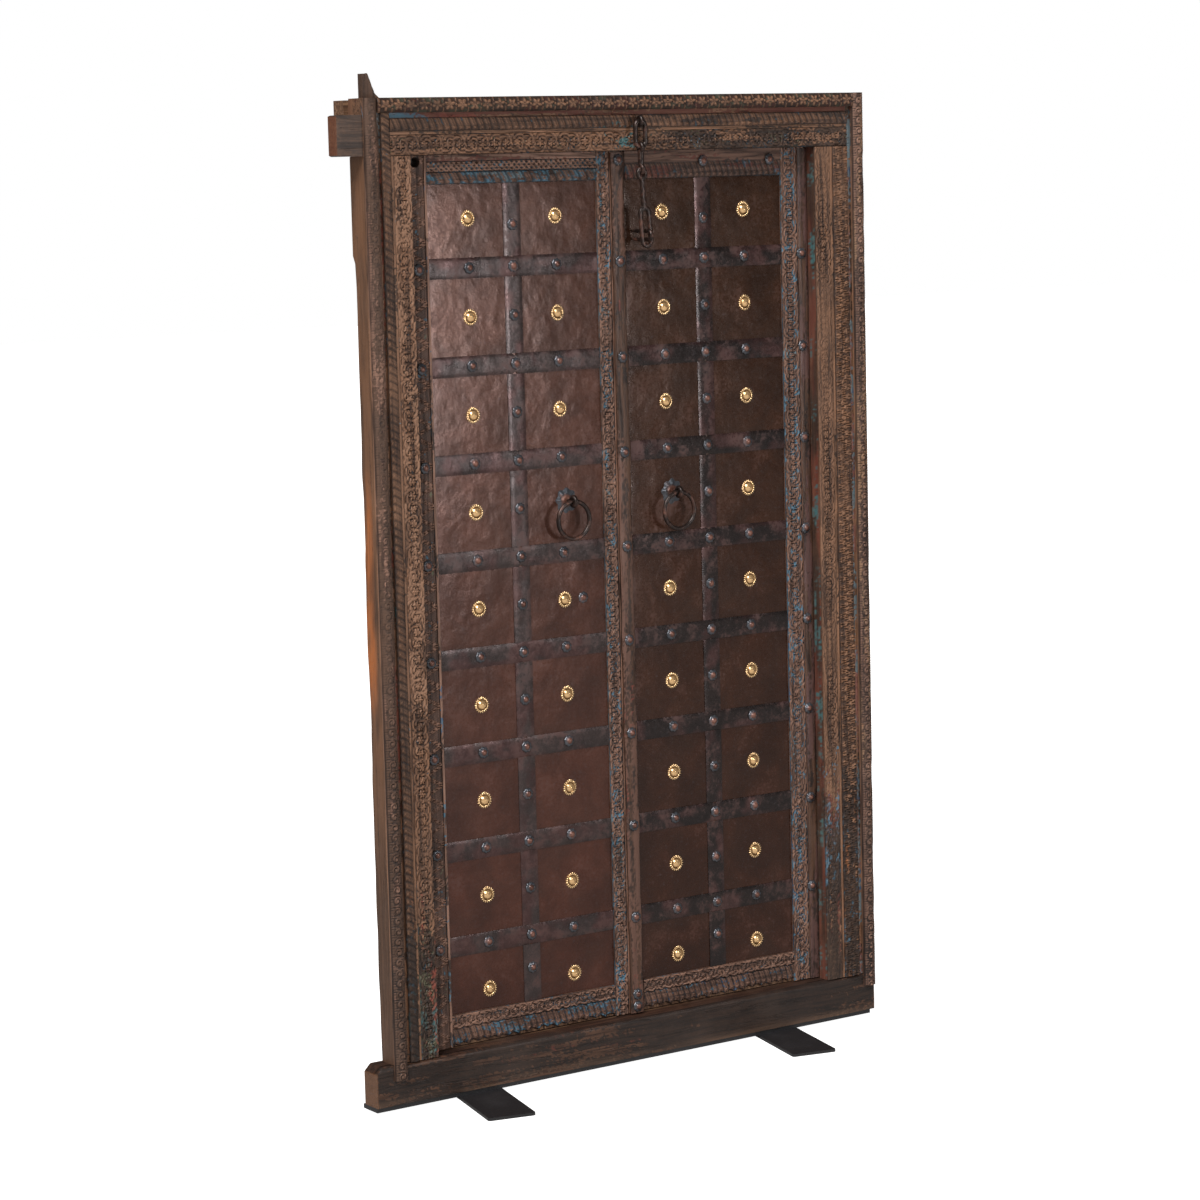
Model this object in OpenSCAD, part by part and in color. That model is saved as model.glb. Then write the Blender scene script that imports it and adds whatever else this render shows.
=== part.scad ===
// Carved double-leaf door in its stepped timber frame, on a flat iron stand.
// X runs across the door, +Y towards its back, +Z up. The origin lies on the floor, under the
// middle of the whole width, left horn included, and under the middle of the sill's depth.

/* [Frame] */
// Width over the two jambs
frame_w = 1224; // [1000:1:1700]
// Height of the head's top edge above the floor
frame_top = 2002; // [1600:1:2500]
// Face width of the left jamb, moulding included
left_jamb_w = 107; // [95:1:170]
// Face width of the right jamb, moulding included
right_jamb_w = 126; // [95:1:170]
// Face height of the head, moulding included
head_h = 112; // [90:1:180]
// Height of the sill timber
sill_h = 82; // [60:1:150]
// Depth of the sill timber
sill_d = 50; // [44:1:90]
// How far the jamb's back stands behind the sill's centre line
jamb_back = 30; // [26:1:50]
// Thickness of the frame's front part, which the leaves close against
stop_t = 30; // [20:1:36]
// How far each leaf reaches behind the frame's front part
stop_lap = 16; // [10:1:24]

/* [Mouldings] */
// Face width of the applied moulding round the outside
moulding_w = 29; // [20:1:40]
// How far the applied moulding stands proud
moulding_t = 12; // [6:1:24]
// Width of the painted groove inside the moulding
groove_w = 10; // [5:1:16]
// Depth of the painted groove
groove_depth = 6; // [3:1:10]
// Width of the thin step between the two carved bands
step_w = 6; // [3:1:10]
// Face width of the innermost carved band
inner_band_w = 41; // [26:1:48]
// How far the middle carved band stands in front of the innermost one
band_step = 3; // [1:0.5:6]
// How far the left moulding's end hangs down over the sill
moulding_drop = 32; // [10:1:50]

/* [Horns] */
// Length of the head's left horn
head_horn_l = 57; // [20:1:90]
// Height of the head's left horn
head_horn_h = 79; // [40:1:90]
// Length of the sill's left horn
sill_horn_l = 40; // [15:1:80]
// Chamfer on the sill horn's upper corner
sill_horn_cut = 14; // [4:1:30]
// Height of the broken tenon above the left jamb
tenon_stub_h = 49; // [10:1:80]
// Width of the broken tenon at its foot
tenon_stub_w = 38; // [20:1:60]
// Width of the broken tenon at its tip
tenon_tip_w = 12; // [6:1:30]
// Depth of the jamb tenons in the sill
sill_tenon_l = 40; // [15:1:50]

/* [Pivots] */
// Radius of the wooden pintles the leaves turn on
pintle_r = 11; // [8:0.5:14]
// Length of each pintle
pintle_l = 40; // [20:1:50]
// Radial clearance round a pintle
pintle_clear = 0.4; // [0.2:0.05:1]
// Clearance between a pintle's end and its socket's floor
pintle_end_gap = 0.3; // [0.1:0.05:1]
// Depth of the two beams behind the frame that hold the pintles
pivot_beam_d = 55; // [48:1:80]
// Radius of the pegs that hold the frame together
peg_r = 7; // [4:0.5:9]

/* [Leaves] */
// Thickness of a hinge stile
stile_t = 46; // [40:1:60]
// Width of the left leaf's hinge stile
left_stile_w = 69; // [52:1:90]
// Width of the right leaf's hinge stile
right_stile_w = 82; // [52:1:100]
// Width of the left leaf's meeting stile
meeting_stile_w = 66; // [50:1:90]
// Where the gap between the leaves lies, from the frame's middle
meeting_x = 19; // [-40:1:40]
// Gap between the leaves
meeting_gap = 6; // [4:0.5:12]
// Clearance above, below and beside a leaf
leaf_clear = 3; // [2:0.5:6]
// Thickness of the planks behind the iron
plank_t = 24; // [16:1:30]
// Planks in a leaf
planks = 3; // [2:1:6]
// How far the carved boards stand in front of the planks
carved_t = 8; // [6:0.5:14]
// Height of the carved board along the top of a leaf
top_rail_h = 70; // [40:1:120]
// Height of the carved board along the foot of a leaf
foot_rail_h = 66; // [40:1:120]
// Width of the cover strip on the left leaf's meeting stile
cover_w = 33; // [20:1:44]
// How far the cover strip stands proud
cover_t = 7; // [4:1:24]
// Width of the plain strip along the right leaf's hinge edge
edge_strip_w = 22; // [20:1:44]
// How far the plain edge strip stands proud
edge_strip_t = 3; // [1:0.5:4]
// Ledges across the back of a leaf
ledges = 5; // [3:1:8]
// Height of a ledge
ledge_h = 70; // [40:1:110]
// Radius of the empty hole at the left leaf's top corner
old_hole_r = 9; // [4:0.5:12]

/* [Iron cladding] */
// Rows of iron sheets
rows = 9; // [5:1:12]
// Height of the top row between the carved board and its strap
top_row_h = 145; // [90:1:200]
// Height of the bottom row between its strap and the carved board
foot_row_h = 118; // [90:1:200]
// Thickness of the iron sheets
sheet_t = 1.5; // [0.8:0.1:2.5]
// Seam left between neighbouring sheets
sheet_seam = 1; // [0.5:0.1:2]
// Width of the iron straps
strap_w = 41; // [30:1:50]
// Thickness of the iron straps
strap_t = 3; // [2:0.25:5]
// How far an upright strap stands left of the middle of its sheets
strap_shift = 3; // [-10:1:10]
// Distance of the brass florets from the upright strap's middle
floret_spread = 104; // [80:1:130]

/* [Studs] */
// Radius of a strap stud
stud_r = 12.5; // [8:0.5:16]
// Height of a strap stud
stud_h = 7; // [4:0.5:12]
// Radius of a brass floret
floret_r = 17; // [12:0.5:24]
// Height of a brass floret
floret_h = 9; // [5:0.5:14]
// Radius of the nails under studs and florets
nail_r = 2.5; // [1.5:0.25:4]
// How far the nails go into the wood
nail_l = 20; // [8:1:22]

/* [Ring pulls] */
// Radius of a ring, to the middle of its bar
ring_r = 38; // [28:0.5:50]
// Radius of a ring's bar
ring_bar_r = 4.75; // [3:0.25:7]
// Clearance between a ring and its eye
ring_clear = 0.4; // [0.3:0.05:1]
// How far a ring hangs in front of the sheets
ring_stand = 28; // [24:1:50]
// Radius of the eye's own bar
eye_bar_r = 3.25; // [2:0.25:5]
// Radius of the domed plate behind a ring
plate_r = 27; // [18:1:40]
// How far a ring's eye sits above the middle of its row
ring_lift = 7; // [0:1:20]
// Sideways shift of the rings from the floret columns
ring_shift = 10; // [0:1:20]

/* [Chain] */
// Where the chain hangs, from the frame's middle
chain_x = 28; // [20:1:60]
// Depth of the chain in front of the sill's centre line
chain_front = 40; // [39:0.5:55]
// Height of the chain's first hinge above the head's underside
chain_lift = 60; // [30:1:70]
// Radius of the bar that the links are made of
link_bar_r = 3.25; // [2:0.25:4.5]
// Width of the top loop, to the middle of its bar
loop_w = 24; // [20:1:40]
// Height of the top loop, to the middle of its bar
loop_h = 53; // [35:1:80]
// Height of the twisted link between its two hinges
twist_h = 44; // [34:1:80]
// Length of the hasp below its hinge
hasp_l = 158; // [110:1:220]
// Sideways lean of the hasp, in degrees
hasp_lean = 4; // [0:0.5:8]
// Length of the hasp's slotted end
hasp_slot_end_l = 82; // [50:1:100]
// Width of the hasp's slotted end
hasp_w = 27; // [20:1:40]
// Width of the slot
hasp_slot_w = 15; // [12:0.5:24]
// Thickness of the hasp
hasp_t = 5; // [3:0.5:8]
// Radius of the hasp staple's bar
staple_bar_r = 2.75; // [2:0.25:3.5]
// How far the hasp staple reaches in front of the hasp
staple_proud = 13; // [10:1:20]

/* [Stand] */
// Thickness of the strip under the sill
strip_t = 9; // [5:0.5:14]
// Depth of the strip under the sill
strip_d = 54; // [40:1:90]
// Distance from the sill's front to the strip's front
strip_setback = 3; // [0:0.5:8]
// How far the strip stops short of the sill's right end
strip_short = 10; // [0:1:40]
// Width of a foot
foot_w = 100; // [60:1:140]
// Length of a foot
foot_l = 420; // [300:1:600]
// Thickness of a foot
foot_t = 6; // [4:0.5:12]
// Distance of the left foot from the frame's middle
left_foot_x = 404; // [200:1:450]
// Distance of the right foot from the frame's middle
right_foot_x = 353; // [200:1:450]
// Turn of the feet away from square, in degrees
foot_turn = 13; // [0:1:20]
// Corner radius of a foot
foot_corner_r = 6; // [2:1:20]
// Screws that hold the strip to the sill
strip_screws = 6; // [3:1:10]
// Radius of those screws
screw_r = 3; // [2:0.5:4]

/* [Hidden] */
$fn = 48;
CUT = 1;                     // how far a cutter runs past the face it opens
LEFT = 0;
RIGHT = 1;
MIRROR = [1, -1];            // turns a left-hand distance into a right-hand one

// Heights
strip_z = foot_t;
sill_z = strip_z + strip_t;
sill_top = sill_z + sill_h;
head_z = frame_top - head_h;
leaf_z = sill_top + leaf_clear;
leaf_top = head_z + stop_lap - leaf_clear;
beam_z = leaf_top + leaf_clear;

// Depths, front to back
sill_front = -sill_d / 2;
stop_back = sill_front + stop_t;
leaf_front = stop_back + leaf_clear;
pivot_y = leaf_front + stile_t / 2;
socket_wall = 7;
head_back = pivot_y - pintle_r - socket_wall;
beam_back = head_back + pivot_beam_d;
plank_front = leaf_front + carved_t;
plank_back = plank_front + plank_t;
sheet_front = plank_front - sheet_t;
strap_front = sheet_front - strap_t;
ring_y = sheet_front - ring_stand;
chain_y = -chain_front;

// Widths. Each pair holds the left value, then the right one.
frame_mid = head_horn_l / 2;
jamb_outer = [frame_mid - frame_w / 2, frame_mid + frame_w / 2];
jamb_inner = [jamb_outer[LEFT] + left_jamb_w, jamb_outer[RIGHT] - right_jamb_w];
leaf_outer = [jamb_inner[LEFT] - stop_lap, jamb_inner[RIGHT] + stop_lap];
rebate_x = [leaf_outer[LEFT] - leaf_clear, leaf_outer[RIGHT] + leaf_clear];
pivot_x = [leaf_outer[LEFT] + stile_t / 2, leaf_outer[RIGHT] - stile_t / 2];
leaf_meet = [frame_mid + meeting_x - meeting_gap / 2, frame_mid + meeting_x + meeting_gap / 2];
field_hinge = [leaf_outer[LEFT] + left_stile_w, leaf_outer[RIGHT] - right_stile_w];
field_meet = [leaf_meet[LEFT] - meeting_stile_w, leaf_meet[RIGHT]];
strap_x = [for (s = [LEFT, RIGHT]) (field_hinge[s] + field_meet[s]) / 2 - strap_shift];

// Rows of cladding
field_top = leaf_top - top_rail_h;
field_foot = leaf_z + foot_rail_h;
first_strap_z = field_top - top_row_h - strap_w / 2;
last_strap_z = field_foot + foot_row_h + strap_w / 2;
row_pitch = (first_strap_z - last_strap_z) / (rows - 2);
strap_zs = [for (i = [0 : rows - 2]) first_strap_z - i * row_pitch];
row_zs = [for (i = [0 : rows - 1]) first_strap_z + (0.5 - i) * row_pitch];
row_edges = concat([field_top], strap_zs, [field_foot]);
ring_row = 3;
ring_z = row_zs[ring_row] + ring_lift;

// The ring hangs in the first column beside the meeting edge
function floret_x(s, column) = strap_x[s] + (column == 0 ? -1 : 1) * floret_spread;
ring_column = [1, 0];
ring_x = [for (s = [LEFT, RIGHT]) floret_x(s, ring_column[s]) + ring_shift];
eye_r = ring_bar_r + ring_clear + eye_bar_r;

// Stud places, as [x, z] on each surface
function strap_stud_places(s) = concat(
    [for (z = strap_zs, dx = [-floret_spread, 0, floret_spread]) [strap_x[s] + dx, z]],
    [for (z = [for (i = [0 : rows - 1]) (row_edges[i] + row_edges[i + 1]) / 2]) [strap_x[s], z]]);
left_stud_inset = 28;
right_stud_inset = 18;
cover_top_stud_drop = 30;
cover_foot_stud_rises = [14, 40];
rail_stud_inset = 30;
rail_stud_drop = 36;
stud_rim = 1.5;
function floret_places(s) = [for (i = [0 : rows - 1], c = [0, 1])
    if (i != ring_row || c != ring_column[s]) [floret_x(s, c), row_zs[i] < field_foot + floret_r
        ? field_foot + foot_row_h / 3 : row_zs[i]]];
hinge_stud_x = [jamb_inner[LEFT] + left_stud_inset, jamb_inner[RIGHT] - right_stud_inset];
cover_mid = leaf_meet[LEFT] - cover_w / 2;
cover_stud_zs = concat([leaf_top - cover_top_stud_drop], strap_zs,
    [for (rise = cover_foot_stud_rises) leaf_z + rise]);
top_rail_stud_x = [strap_x[RIGHT], field_hinge[RIGHT] - rail_stud_inset];

// Chain
hang_x = frame_mid + chain_x;
loop_top_z = head_z + chain_lift;
twist_top_z = loop_top_z - loop_h;
hasp_top_z = twist_top_z - twist_h;
link_clear = 0.4;
chain_eye_r = 2 * link_bar_r + link_clear;
hasp_eye_r = 9;
staple_rise = 24;            // height of the staple above the hasp's lower end
staple_z = hasp_top_z - hasp_l * cos(hasp_lean) + staple_rise;
staple_shift = 1.5;          // the staple moves left as the leaf swings back
staple_x = hang_x + (hasp_top_z - staple_z) * tan(hasp_lean) + staple_shift;
staple_gap = 17;
staple_front = chain_y - hasp_t / 2 - staple_proud;

// Fixings
peg_in_head = 24;
peg_l = jamb_back - head_back + peg_in_head;
peg_spread = 22;
peg_rise = 45;
screw_l = 35;
screw_head_t = 3;
tenon_w = 40;
tenon_t = 14;
tongue_d = jamb_back - head_back;

iron_dark = [0.13, 0.12, 0.12];
iron_brown = [0.25, 0.17, 0.14];
iron_strap = [0.16, 0.14, 0.15];
timber = [0.30, 0.17, 0.10];
timber_light = [0.46, 0.26, 0.13];
carved_wood = [0.27, 0.21, 0.18];
brass_gold = [0.83, 0.62, 0.22];
rust = [0.36, 0.17, 0.11];

// ---------- shared shapes ----------

// A block between two corners, given in any order
module block(a, b) {
    translate([min(a[0], b[0]), min(a[1], b[1]), min(a[2], b[2])])
        cube([abs(a[0] - b[0]), abs(a[1] - b[1]), abs(a[2] - b[2])]);
}

// A round bar from the face y0 back to y1
module bar_y(x, z, r, y0, y1) {
    translate([x, y0, z]) rotate([-90, 0, 0]) cylinder(r = r, h = y1 - y0);
}

// Nails at a list of [x, z] places
module nails(places, y0, r = nail_r) {
    for (p = places) bar_y(p[0], p[1], r, y0, plank_front + nail_l);
}

// A low dome standing on the face y, with its nail
module dome_stud(x, z, y, r, h, foot) {
    translate([x, y, z]) rotate([90, 0, 0]) rotate_extrude()
        polygon(concat([[0, 0], [r, 0], [r, foot]],
            [for (a = [15 : 15 : 90]) [r * cos(a), foot + (h - foot) * sin(a)]]));
    bar_y(x, z, nail_r, y, plank_front + nail_l);
}

// A ring whose bar runs round the X axis, as an eye seen from its side
module eye_ring(r, bar_r) {
    rotate([0, 90, 0]) rotate_extrude() translate([r, 0]) circle(r = bar_r);
}

// A ring standing upright and facing the front
module face_ring(r, bar_r) {
    rotate([90, 0, 0]) rotate_extrude() translate([r, 0]) circle(r = bar_r);
}

// Every nail and shank that goes through one leaf's sheets and planks
module leaf_drill(s) {
    nails(strap_stud_places(s), strap_front - CUT);
    nails(floret_places(s), strap_front - CUT);
    bar_y(ring_x[s], ring_z, eye_bar_r, strap_front - CUT, plank_back + CUT);
    if (s == RIGHT) staple_legs(strap_front - CUT);
}

// ---------- stand ----------

strip_front = sill_front + strip_setback;
strip_left = jamb_outer[LEFT] - sill_horn_l;
strip_right = jamb_outer[RIGHT] - strip_short;

module base_strip() color(iron_dark) difference() {
    block([strip_left, strip_front, strip_z], [strip_right, strip_front + strip_d, sill_z]);
    strip_screw_places() {
        translate([0, 0, strip_z - CUT]) cylinder(r = screw_r, h = strip_t + 2 * CUT);
        translate([0, 0, strip_z - CUT]) cylinder(r = 2 * screw_r, h = screw_head_t + CUT);
    }
}

// The strip's screws stand in a row along it
module strip_screw_places() {
    for (i = [0 : strip_screws - 1])
        translate([strip_left + (i + 0.5) * (strip_right - strip_left) / strip_screws, 0, 0])
            children();
}

module base_screws() color(iron_dark) strip_screw_places() {
    translate([0, 0, strip_z]) cylinder(r = screw_r, h = screw_l);
    translate([0, 0, strip_z]) cylinder(r = 2 * screw_r, h = screw_head_t);
}

// Flat foot under the strip, turned a little from square
module foot(x) color(iron_dark) translate([frame_mid + x, 0, 0]) rotate([0, 0, -foot_turn])
    linear_extrude(foot_t) {
        square([foot_w - 2 * foot_corner_r, foot_l], center = true);
        square([foot_w, foot_l - 2 * foot_corner_r], center = true);
        for (sx = [-1, 1], sy = [-1, 1])
            translate([sx * (foot_w / 2 - foot_corner_r), sy * (foot_l / 2 - foot_corner_r)])
                circle(r = foot_corner_r);
    }

module left_foot() foot(-left_foot_x);
module right_foot() foot(right_foot_x);

// ---------- frame ----------

// Hole that a leaf's pintle turns in
module pintle_socket(s, z0, z1) {
    translate([pivot_x[s], pivot_y, z0]) cylinder(r = pintle_r + pintle_clear, h = z1 - z0);
}

// Middle of a jamb's full-depth part
function jamb_middle(s) = (jamb_outer[s] + rebate_x[s]) / 2;

module sill_tenon(s) {
    block([jamb_middle(s) - tenon_w / 2, -tenon_t / 2, sill_top - sill_tenon_l],
        [jamb_middle(s) + tenon_w / 2, tenon_t / 2, sill_top]);
}

// Worn sill: its top front edge is rounded and its left horn is cut back at the corner
module sill() color(timber) difference() {
    wear = 9;
    horn_x = jamb_outer[LEFT] - sill_horn_l;
    translate([horn_x, 0, 0]) rotate([90, 0, 90])
        linear_extrude(jamb_outer[RIGHT] - horn_x) {
            translate([sill_front, sill_z]) square([sill_d, sill_h - wear]);
            translate([sill_front + wear, sill_z]) square([sill_d - wear, sill_h]);
            translate([sill_front + wear, sill_top - wear]) circle(r = wear);
        }
    translate([horn_x, sill_front - CUT, sill_top - sill_horn_cut]) rotate([-90, 0, 0])
        linear_extrude(sill_d + 2 * CUT)
            polygon([[-CUT, 0], [sill_horn_cut + CUT, -sill_horn_cut - CUT], [-CUT, -sill_horn_cut - CUT]]);
    block([rebate_x[LEFT], head_back, sill_z - CUT],
        [rebate_x[RIGHT], sill_front + sill_d + CUT, sill_top + CUT]);
    for (s = [LEFT, RIGHT]) sill_tenon(s);
    strip_screw_places() translate([0, 0, sill_z - CUT])
        cylinder(r = screw_r, h = screw_l - strip_t + CUT);
}

module pivot_sill() color(timber) difference() {
    block([rebate_x[LEFT], head_back, sill_z], [rebate_x[RIGHT], beam_back, sill_top]);
    for (s = [LEFT, RIGHT])
        pintle_socket(s, leaf_z - pintle_l - pintle_end_gap, sill_top + CUT);
}

// Face profile of a jamb, from its outer edge inwards, as steps in depth
module jamb_plan(s) {
    m = MIRROR[s];
    groove_x = jamb_outer[s] + m * moulding_w;
    band_x = groove_x + m * groove_w;
    inner_x = jamb_inner[s] - m * inner_band_w;
    step_x = inner_x - m * step_w;
    polygon([
        [jamb_outer[s], sill_front], [groove_x, sill_front],
        [groove_x, sill_front + groove_depth], [band_x, sill_front + groove_depth],
        [band_x, sill_front - band_step], [step_x, sill_front - band_step],
        [step_x, sill_front + band_step], [inner_x, sill_front + band_step],
        [inner_x, sill_front], [jamb_inner[s], sill_front],
        [jamb_inner[s], stop_back], [rebate_x[s], stop_back],
        [rebate_x[s], jamb_back], [jamb_outer[s], jamb_back]]);
}

module jamb(s) {
    translate([0, 0, sill_top]) linear_extrude(head_z - sill_top) jamb_plan(s);
    block([jamb_outer[s], head_back, head_z], [rebate_x[s], jamb_back, frame_top]);
    sill_tenon(s);
}

// Broken tenon that still stands above the left jamb
module tenon_stub() {
    from_edge = 24;
    shoulder = [0.72 * tenon_stub_w, 0.2 * tenon_stub_h];
    tip_slope = 2;
    translate([jamb_outer[LEFT] + from_edge, jamb_back, frame_top]) rotate([90, 0, 0]) linear_extrude(tongue_d)
        polygon([[0, 0], [tenon_stub_w, 0], shoulder,
            [tenon_tip_w, tenon_stub_h], [0, tenon_stub_h - tip_slope]]);
}

module left_jamb() color(timber_light) difference() {
    union() {
        jamb(LEFT);
        tenon_stub();
    }
    peg_holes();
}

module right_jamb() color(timber_light) difference() {
    jamb(RIGHT);
    peg_holes();
}

// The head carries the same steps as the jambs, and lies flat under the upright mouldings
module head_beam() color(timber) difference() {
    horn_inset = [2, 1];
    horn_z = head_z + horn_inset[1];
    union() {
        translate([jamb_outer[LEFT], 0, 0]) rotate([90, 0, 90])
            linear_extrude(frame_w) head_section();
        block([jamb_outer[LEFT] - head_horn_l, sill_front + horn_inset[0], horn_z],
            [jamb_outer[LEFT], head_back, horn_z + head_horn_h]);
    }
    for (s = [LEFT, RIGHT])
        block([jamb_outer[s] - MIRROR[s] * CUT, sill_front - band_step - CUT, head_z - CUT],
            [jamb_outer[s] + MIRROR[s] * moulding_w, sill_front, frame_top + CUT]);
    peg_holes();
    bar_y(hang_x, loop_top_z, link_bar_r, sill_front - band_step - CUT, head_back + CUT);
}

module head_section() {
    groove_z = frame_top - moulding_w;
    band_z = groove_z - groove_w;
    inner_z = head_z + inner_band_w;
    polygon([
        [sill_front, frame_top], [sill_front, groove_z],
        [sill_front + groove_depth, groove_z], [sill_front + groove_depth, band_z],
        [sill_front - band_step, band_z], [sill_front - band_step, inner_z + step_w],
        [sill_front + band_step, inner_z + step_w], [sill_front + band_step, inner_z],
        [sill_front, inner_z], [sill_front, head_z],
        [stop_back, head_z], [stop_back, beam_z],
        [head_back, beam_z], [head_back, frame_top]]);
}

// Rear beam with the upper sockets, notched over the jambs
module pivot_beam() color(timber) difference() {
    reach = 10;
    drop = 3;
    block([jamb_outer[LEFT] - reach, head_back, beam_z],
        [jamb_outer[RIGHT] - reach, beam_back, frame_top - drop]);
    for (s = [LEFT, RIGHT]) {
        block([jamb_outer[s] - MIRROR[s] * (reach + CUT), head_back - CUT, beam_z - CUT],
            [rebate_x[s], jamb_back, frame_top]);
        pintle_socket(s, beam_z - CUT, leaf_top + pintle_l + pintle_end_gap);
    }
}

// Half-round moulding profile, lying on the frame's face
module moulding_profile(w) {
    edge = 0.35 * moulding_t;
    polygon(concat([[0, 0], [w, 0], [w, edge]],
        [for (a = [10 : 20 : 170]) [w / 2 + w / 2 * cos(a), edge + (moulding_t - edge) * sin(a)]],
        [[0, edge]]));
}

module upright_moulding(s, z0) {
    x0 = s == LEFT ? jamb_outer[s] : jamb_outer[s] - moulding_w;
    translate([x0, sill_front, z0]) mirror([0, 1, 0])
        linear_extrude(frame_top - z0) moulding_profile(moulding_w);
}

right_moulding_rise = 6;
module left_moulding() color(carved_wood) upright_moulding(LEFT, sill_top - moulding_drop);
module right_moulding() color(carved_wood)
    upright_moulding(RIGHT, sill_top - moulding_drop + right_moulding_rise);
module head_moulding() color(carved_wood)
    translate([jamb_outer[LEFT] + moulding_w, sill_front, frame_top - moulding_w]) rotate([90, 0, 90])
        mirror([1, 0, 0]) linear_extrude(frame_w - 2 * moulding_w)
            rotate(90) mirror([0, 1, 0]) moulding_profile(moulding_w);

// Pegs run from the back through each jamb's tongue into the head
module peg_places() {
    for (s = [LEFT, RIGHT], dx = [-peg_spread, peg_spread])
        translate([jamb_middle(s) + dx, 0, head_z + peg_rise]) children();
}

module peg_holes() {
    peg_places() bar_y(0, 0, peg_r, jamb_back - peg_l, jamb_back + CUT);
}

module frame_pegs() color(timber_light) peg_places() bar_y(0, 0, peg_r, jamb_back - peg_l, jamb_back);

// ---------- leaf timber ----------

strip_gap = 2;               // play between the strips and the head
strip_lap = 1;               // play between the edge strip and the jamb

// Stile with a rounded hinge edge and a pintle at each end
module hinge_stile(s) {
    m = MIRROR[s];
    translate([0, 0, leaf_z]) linear_extrude(leaf_top - leaf_z) {
        translate([pivot_x[s], pivot_y]) circle(r = stile_t / 2);
        x0 = min(pivot_x[s], field_hinge[s]);
        translate([x0, leaf_front]) square([abs(field_hinge[s] - pivot_x[s]), stile_t]);
    }
    translate([pivot_x[s], pivot_y, leaf_z - pintle_l])
        cylinder(r = pintle_r, h = leaf_top - leaf_z + 2 * pintle_l);
}

hinge_stud_places = [for (s = [LEFT, RIGHT]) [for (z = strap_zs) [hinge_stud_x[s], z]]];

module left_hinge_stile() color(carved_wood) difference() {
    old_hole_drop = 26;
    old_hole_depth = 18;
    hinge_stile(LEFT);
    nails(hinge_stud_places[LEFT], leaf_front - CUT);
    bar_y(hinge_stud_x[LEFT], leaf_top - old_hole_drop, old_hole_r,
        leaf_front - CUT, leaf_front + old_hole_depth);
}

module right_hinge_stile() color(carved_wood) difference() {
    hinge_stile(RIGHT);
    nails(hinge_stud_places[RIGHT], leaf_front - CUT);
}

module right_edge_strip() color(timber) difference() {
    block([jamb_inner[RIGHT] - strip_lap, leaf_front - edge_strip_t, leaf_z],
        [jamb_inner[RIGHT] - strip_lap - edge_strip_w, leaf_front, head_z - strip_gap]);
    nails(hinge_stud_places[RIGHT], leaf_front - 2 * edge_strip_t);
}

module plank_set(s) {
    x0 = min(field_hinge[s], field_meet[s]);
    plank_w = abs(field_hinge[s] - field_meet[s]) / planks;
    difference() {
        for (i = [0 : planks - 1])
            block([x0 + i * plank_w, plank_front, leaf_z], [x0 + (i + 1) * plank_w, plank_back, leaf_top]);
        leaf_drill(s);
        if (s == RIGHT) nails(top_rail_studs, leaf_front - CUT);
    }
}

module left_planks() color(timber) plank_set(LEFT);
module right_planks() color(timber) plank_set(RIGHT);

module left_meeting_stile() color(carved_wood) difference() {
    block([field_meet[LEFT], leaf_front, leaf_z], [leaf_meet[LEFT], plank_back, leaf_top]);
    nails([for (z = cover_stud_zs) [cover_mid, z]], leaf_front - CUT);
}

module left_cover_strip() color(timber) difference() {
    block([leaf_meet[LEFT] - cover_w, leaf_front - cover_t, leaf_z], [leaf_meet[LEFT], leaf_front, head_z - strip_gap]);
    nails([for (z = cover_stud_zs) [cover_mid, z]], leaf_front - cover_t - CUT);
}

module rail(s, z0, z1) {
    block([field_hinge[s], leaf_front, z0], [field_meet[s], plank_front, z1]);
}

top_rail_studs = [for (x = top_rail_stud_x) [x, leaf_top - rail_stud_drop]];

module left_top_rail() color(carved_wood) rail(LEFT, field_top, leaf_top);
module left_foot_rail() color(carved_wood) rail(LEFT, leaf_z, field_foot);
module right_top_rail() color(carved_wood) difference() {
    rail(RIGHT, field_top, leaf_top);
    nails(top_rail_studs, leaf_front - CUT);
}
module right_foot_rail() color(carved_wood) rail(RIGHT, leaf_z, field_foot);

// Ledges nailed across the planks at the back
module ledge_set(s) {
    step = (leaf_top - leaf_z - ledge_h) / (ledges - 1);
    inner = s == LEFT ? leaf_meet[LEFT] : field_meet[RIGHT];
    inset = 12;
    for (i = [0 : ledges - 1])
        block([field_hinge[s], plank_back, leaf_z + i * step],
            [inner - MIRROR[s] * inset, leaf_front + stile_t, leaf_z + i * step + ledge_h]);
}

module left_ledges() color(timber_light) ledge_set(LEFT);
module right_ledges() color(timber_light) ledge_set(RIGHT);

// ---------- iron cladding ----------

// Sheets butt together under the straps' middles
module sheet_set(s) {
    x0 = min(field_hinge[s], field_meet[s]);
    x1 = max(field_hinge[s], field_meet[s]);
    edges = [x0, strap_x[s], x1];
    seam = sheet_seam / 2;
    difference() {
        for (i = [0 : rows - 1], c = [0, 1])
            block([edges[c] + (c == 0 ? 0 : seam), sheet_front, row_edges[i] - (i == 0 ? 0 : seam)],
                [edges[c + 1] - (c == 0 ? seam : 0), plank_front,
                    row_edges[i + 1] + (i == rows - 1 ? 0 : seam)]);
        leaf_drill(s);
    }
}

module left_sheets() color(iron_brown) sheet_set(LEFT);
module right_sheets() color(iron_brown) sheet_set(RIGHT);

module upright_strap_set(s) {
    difference() {
        for (i = [0 : rows - 1])
            block([strap_x[s] - strap_w / 2, strap_front, row_edges[i] - (i == 0 ? 0 : strap_w / 2)],
                [strap_x[s] + strap_w / 2, sheet_front,
                    row_edges[i + 1] + (i == rows - 1 ? 0 : strap_w / 2)]);
        nails(strap_stud_places(s), strap_front - CUT);
    }
}

module left_upright_straps() color(iron_strap) upright_strap_set(LEFT);
module right_upright_straps() color(iron_strap) upright_strap_set(RIGHT);

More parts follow.
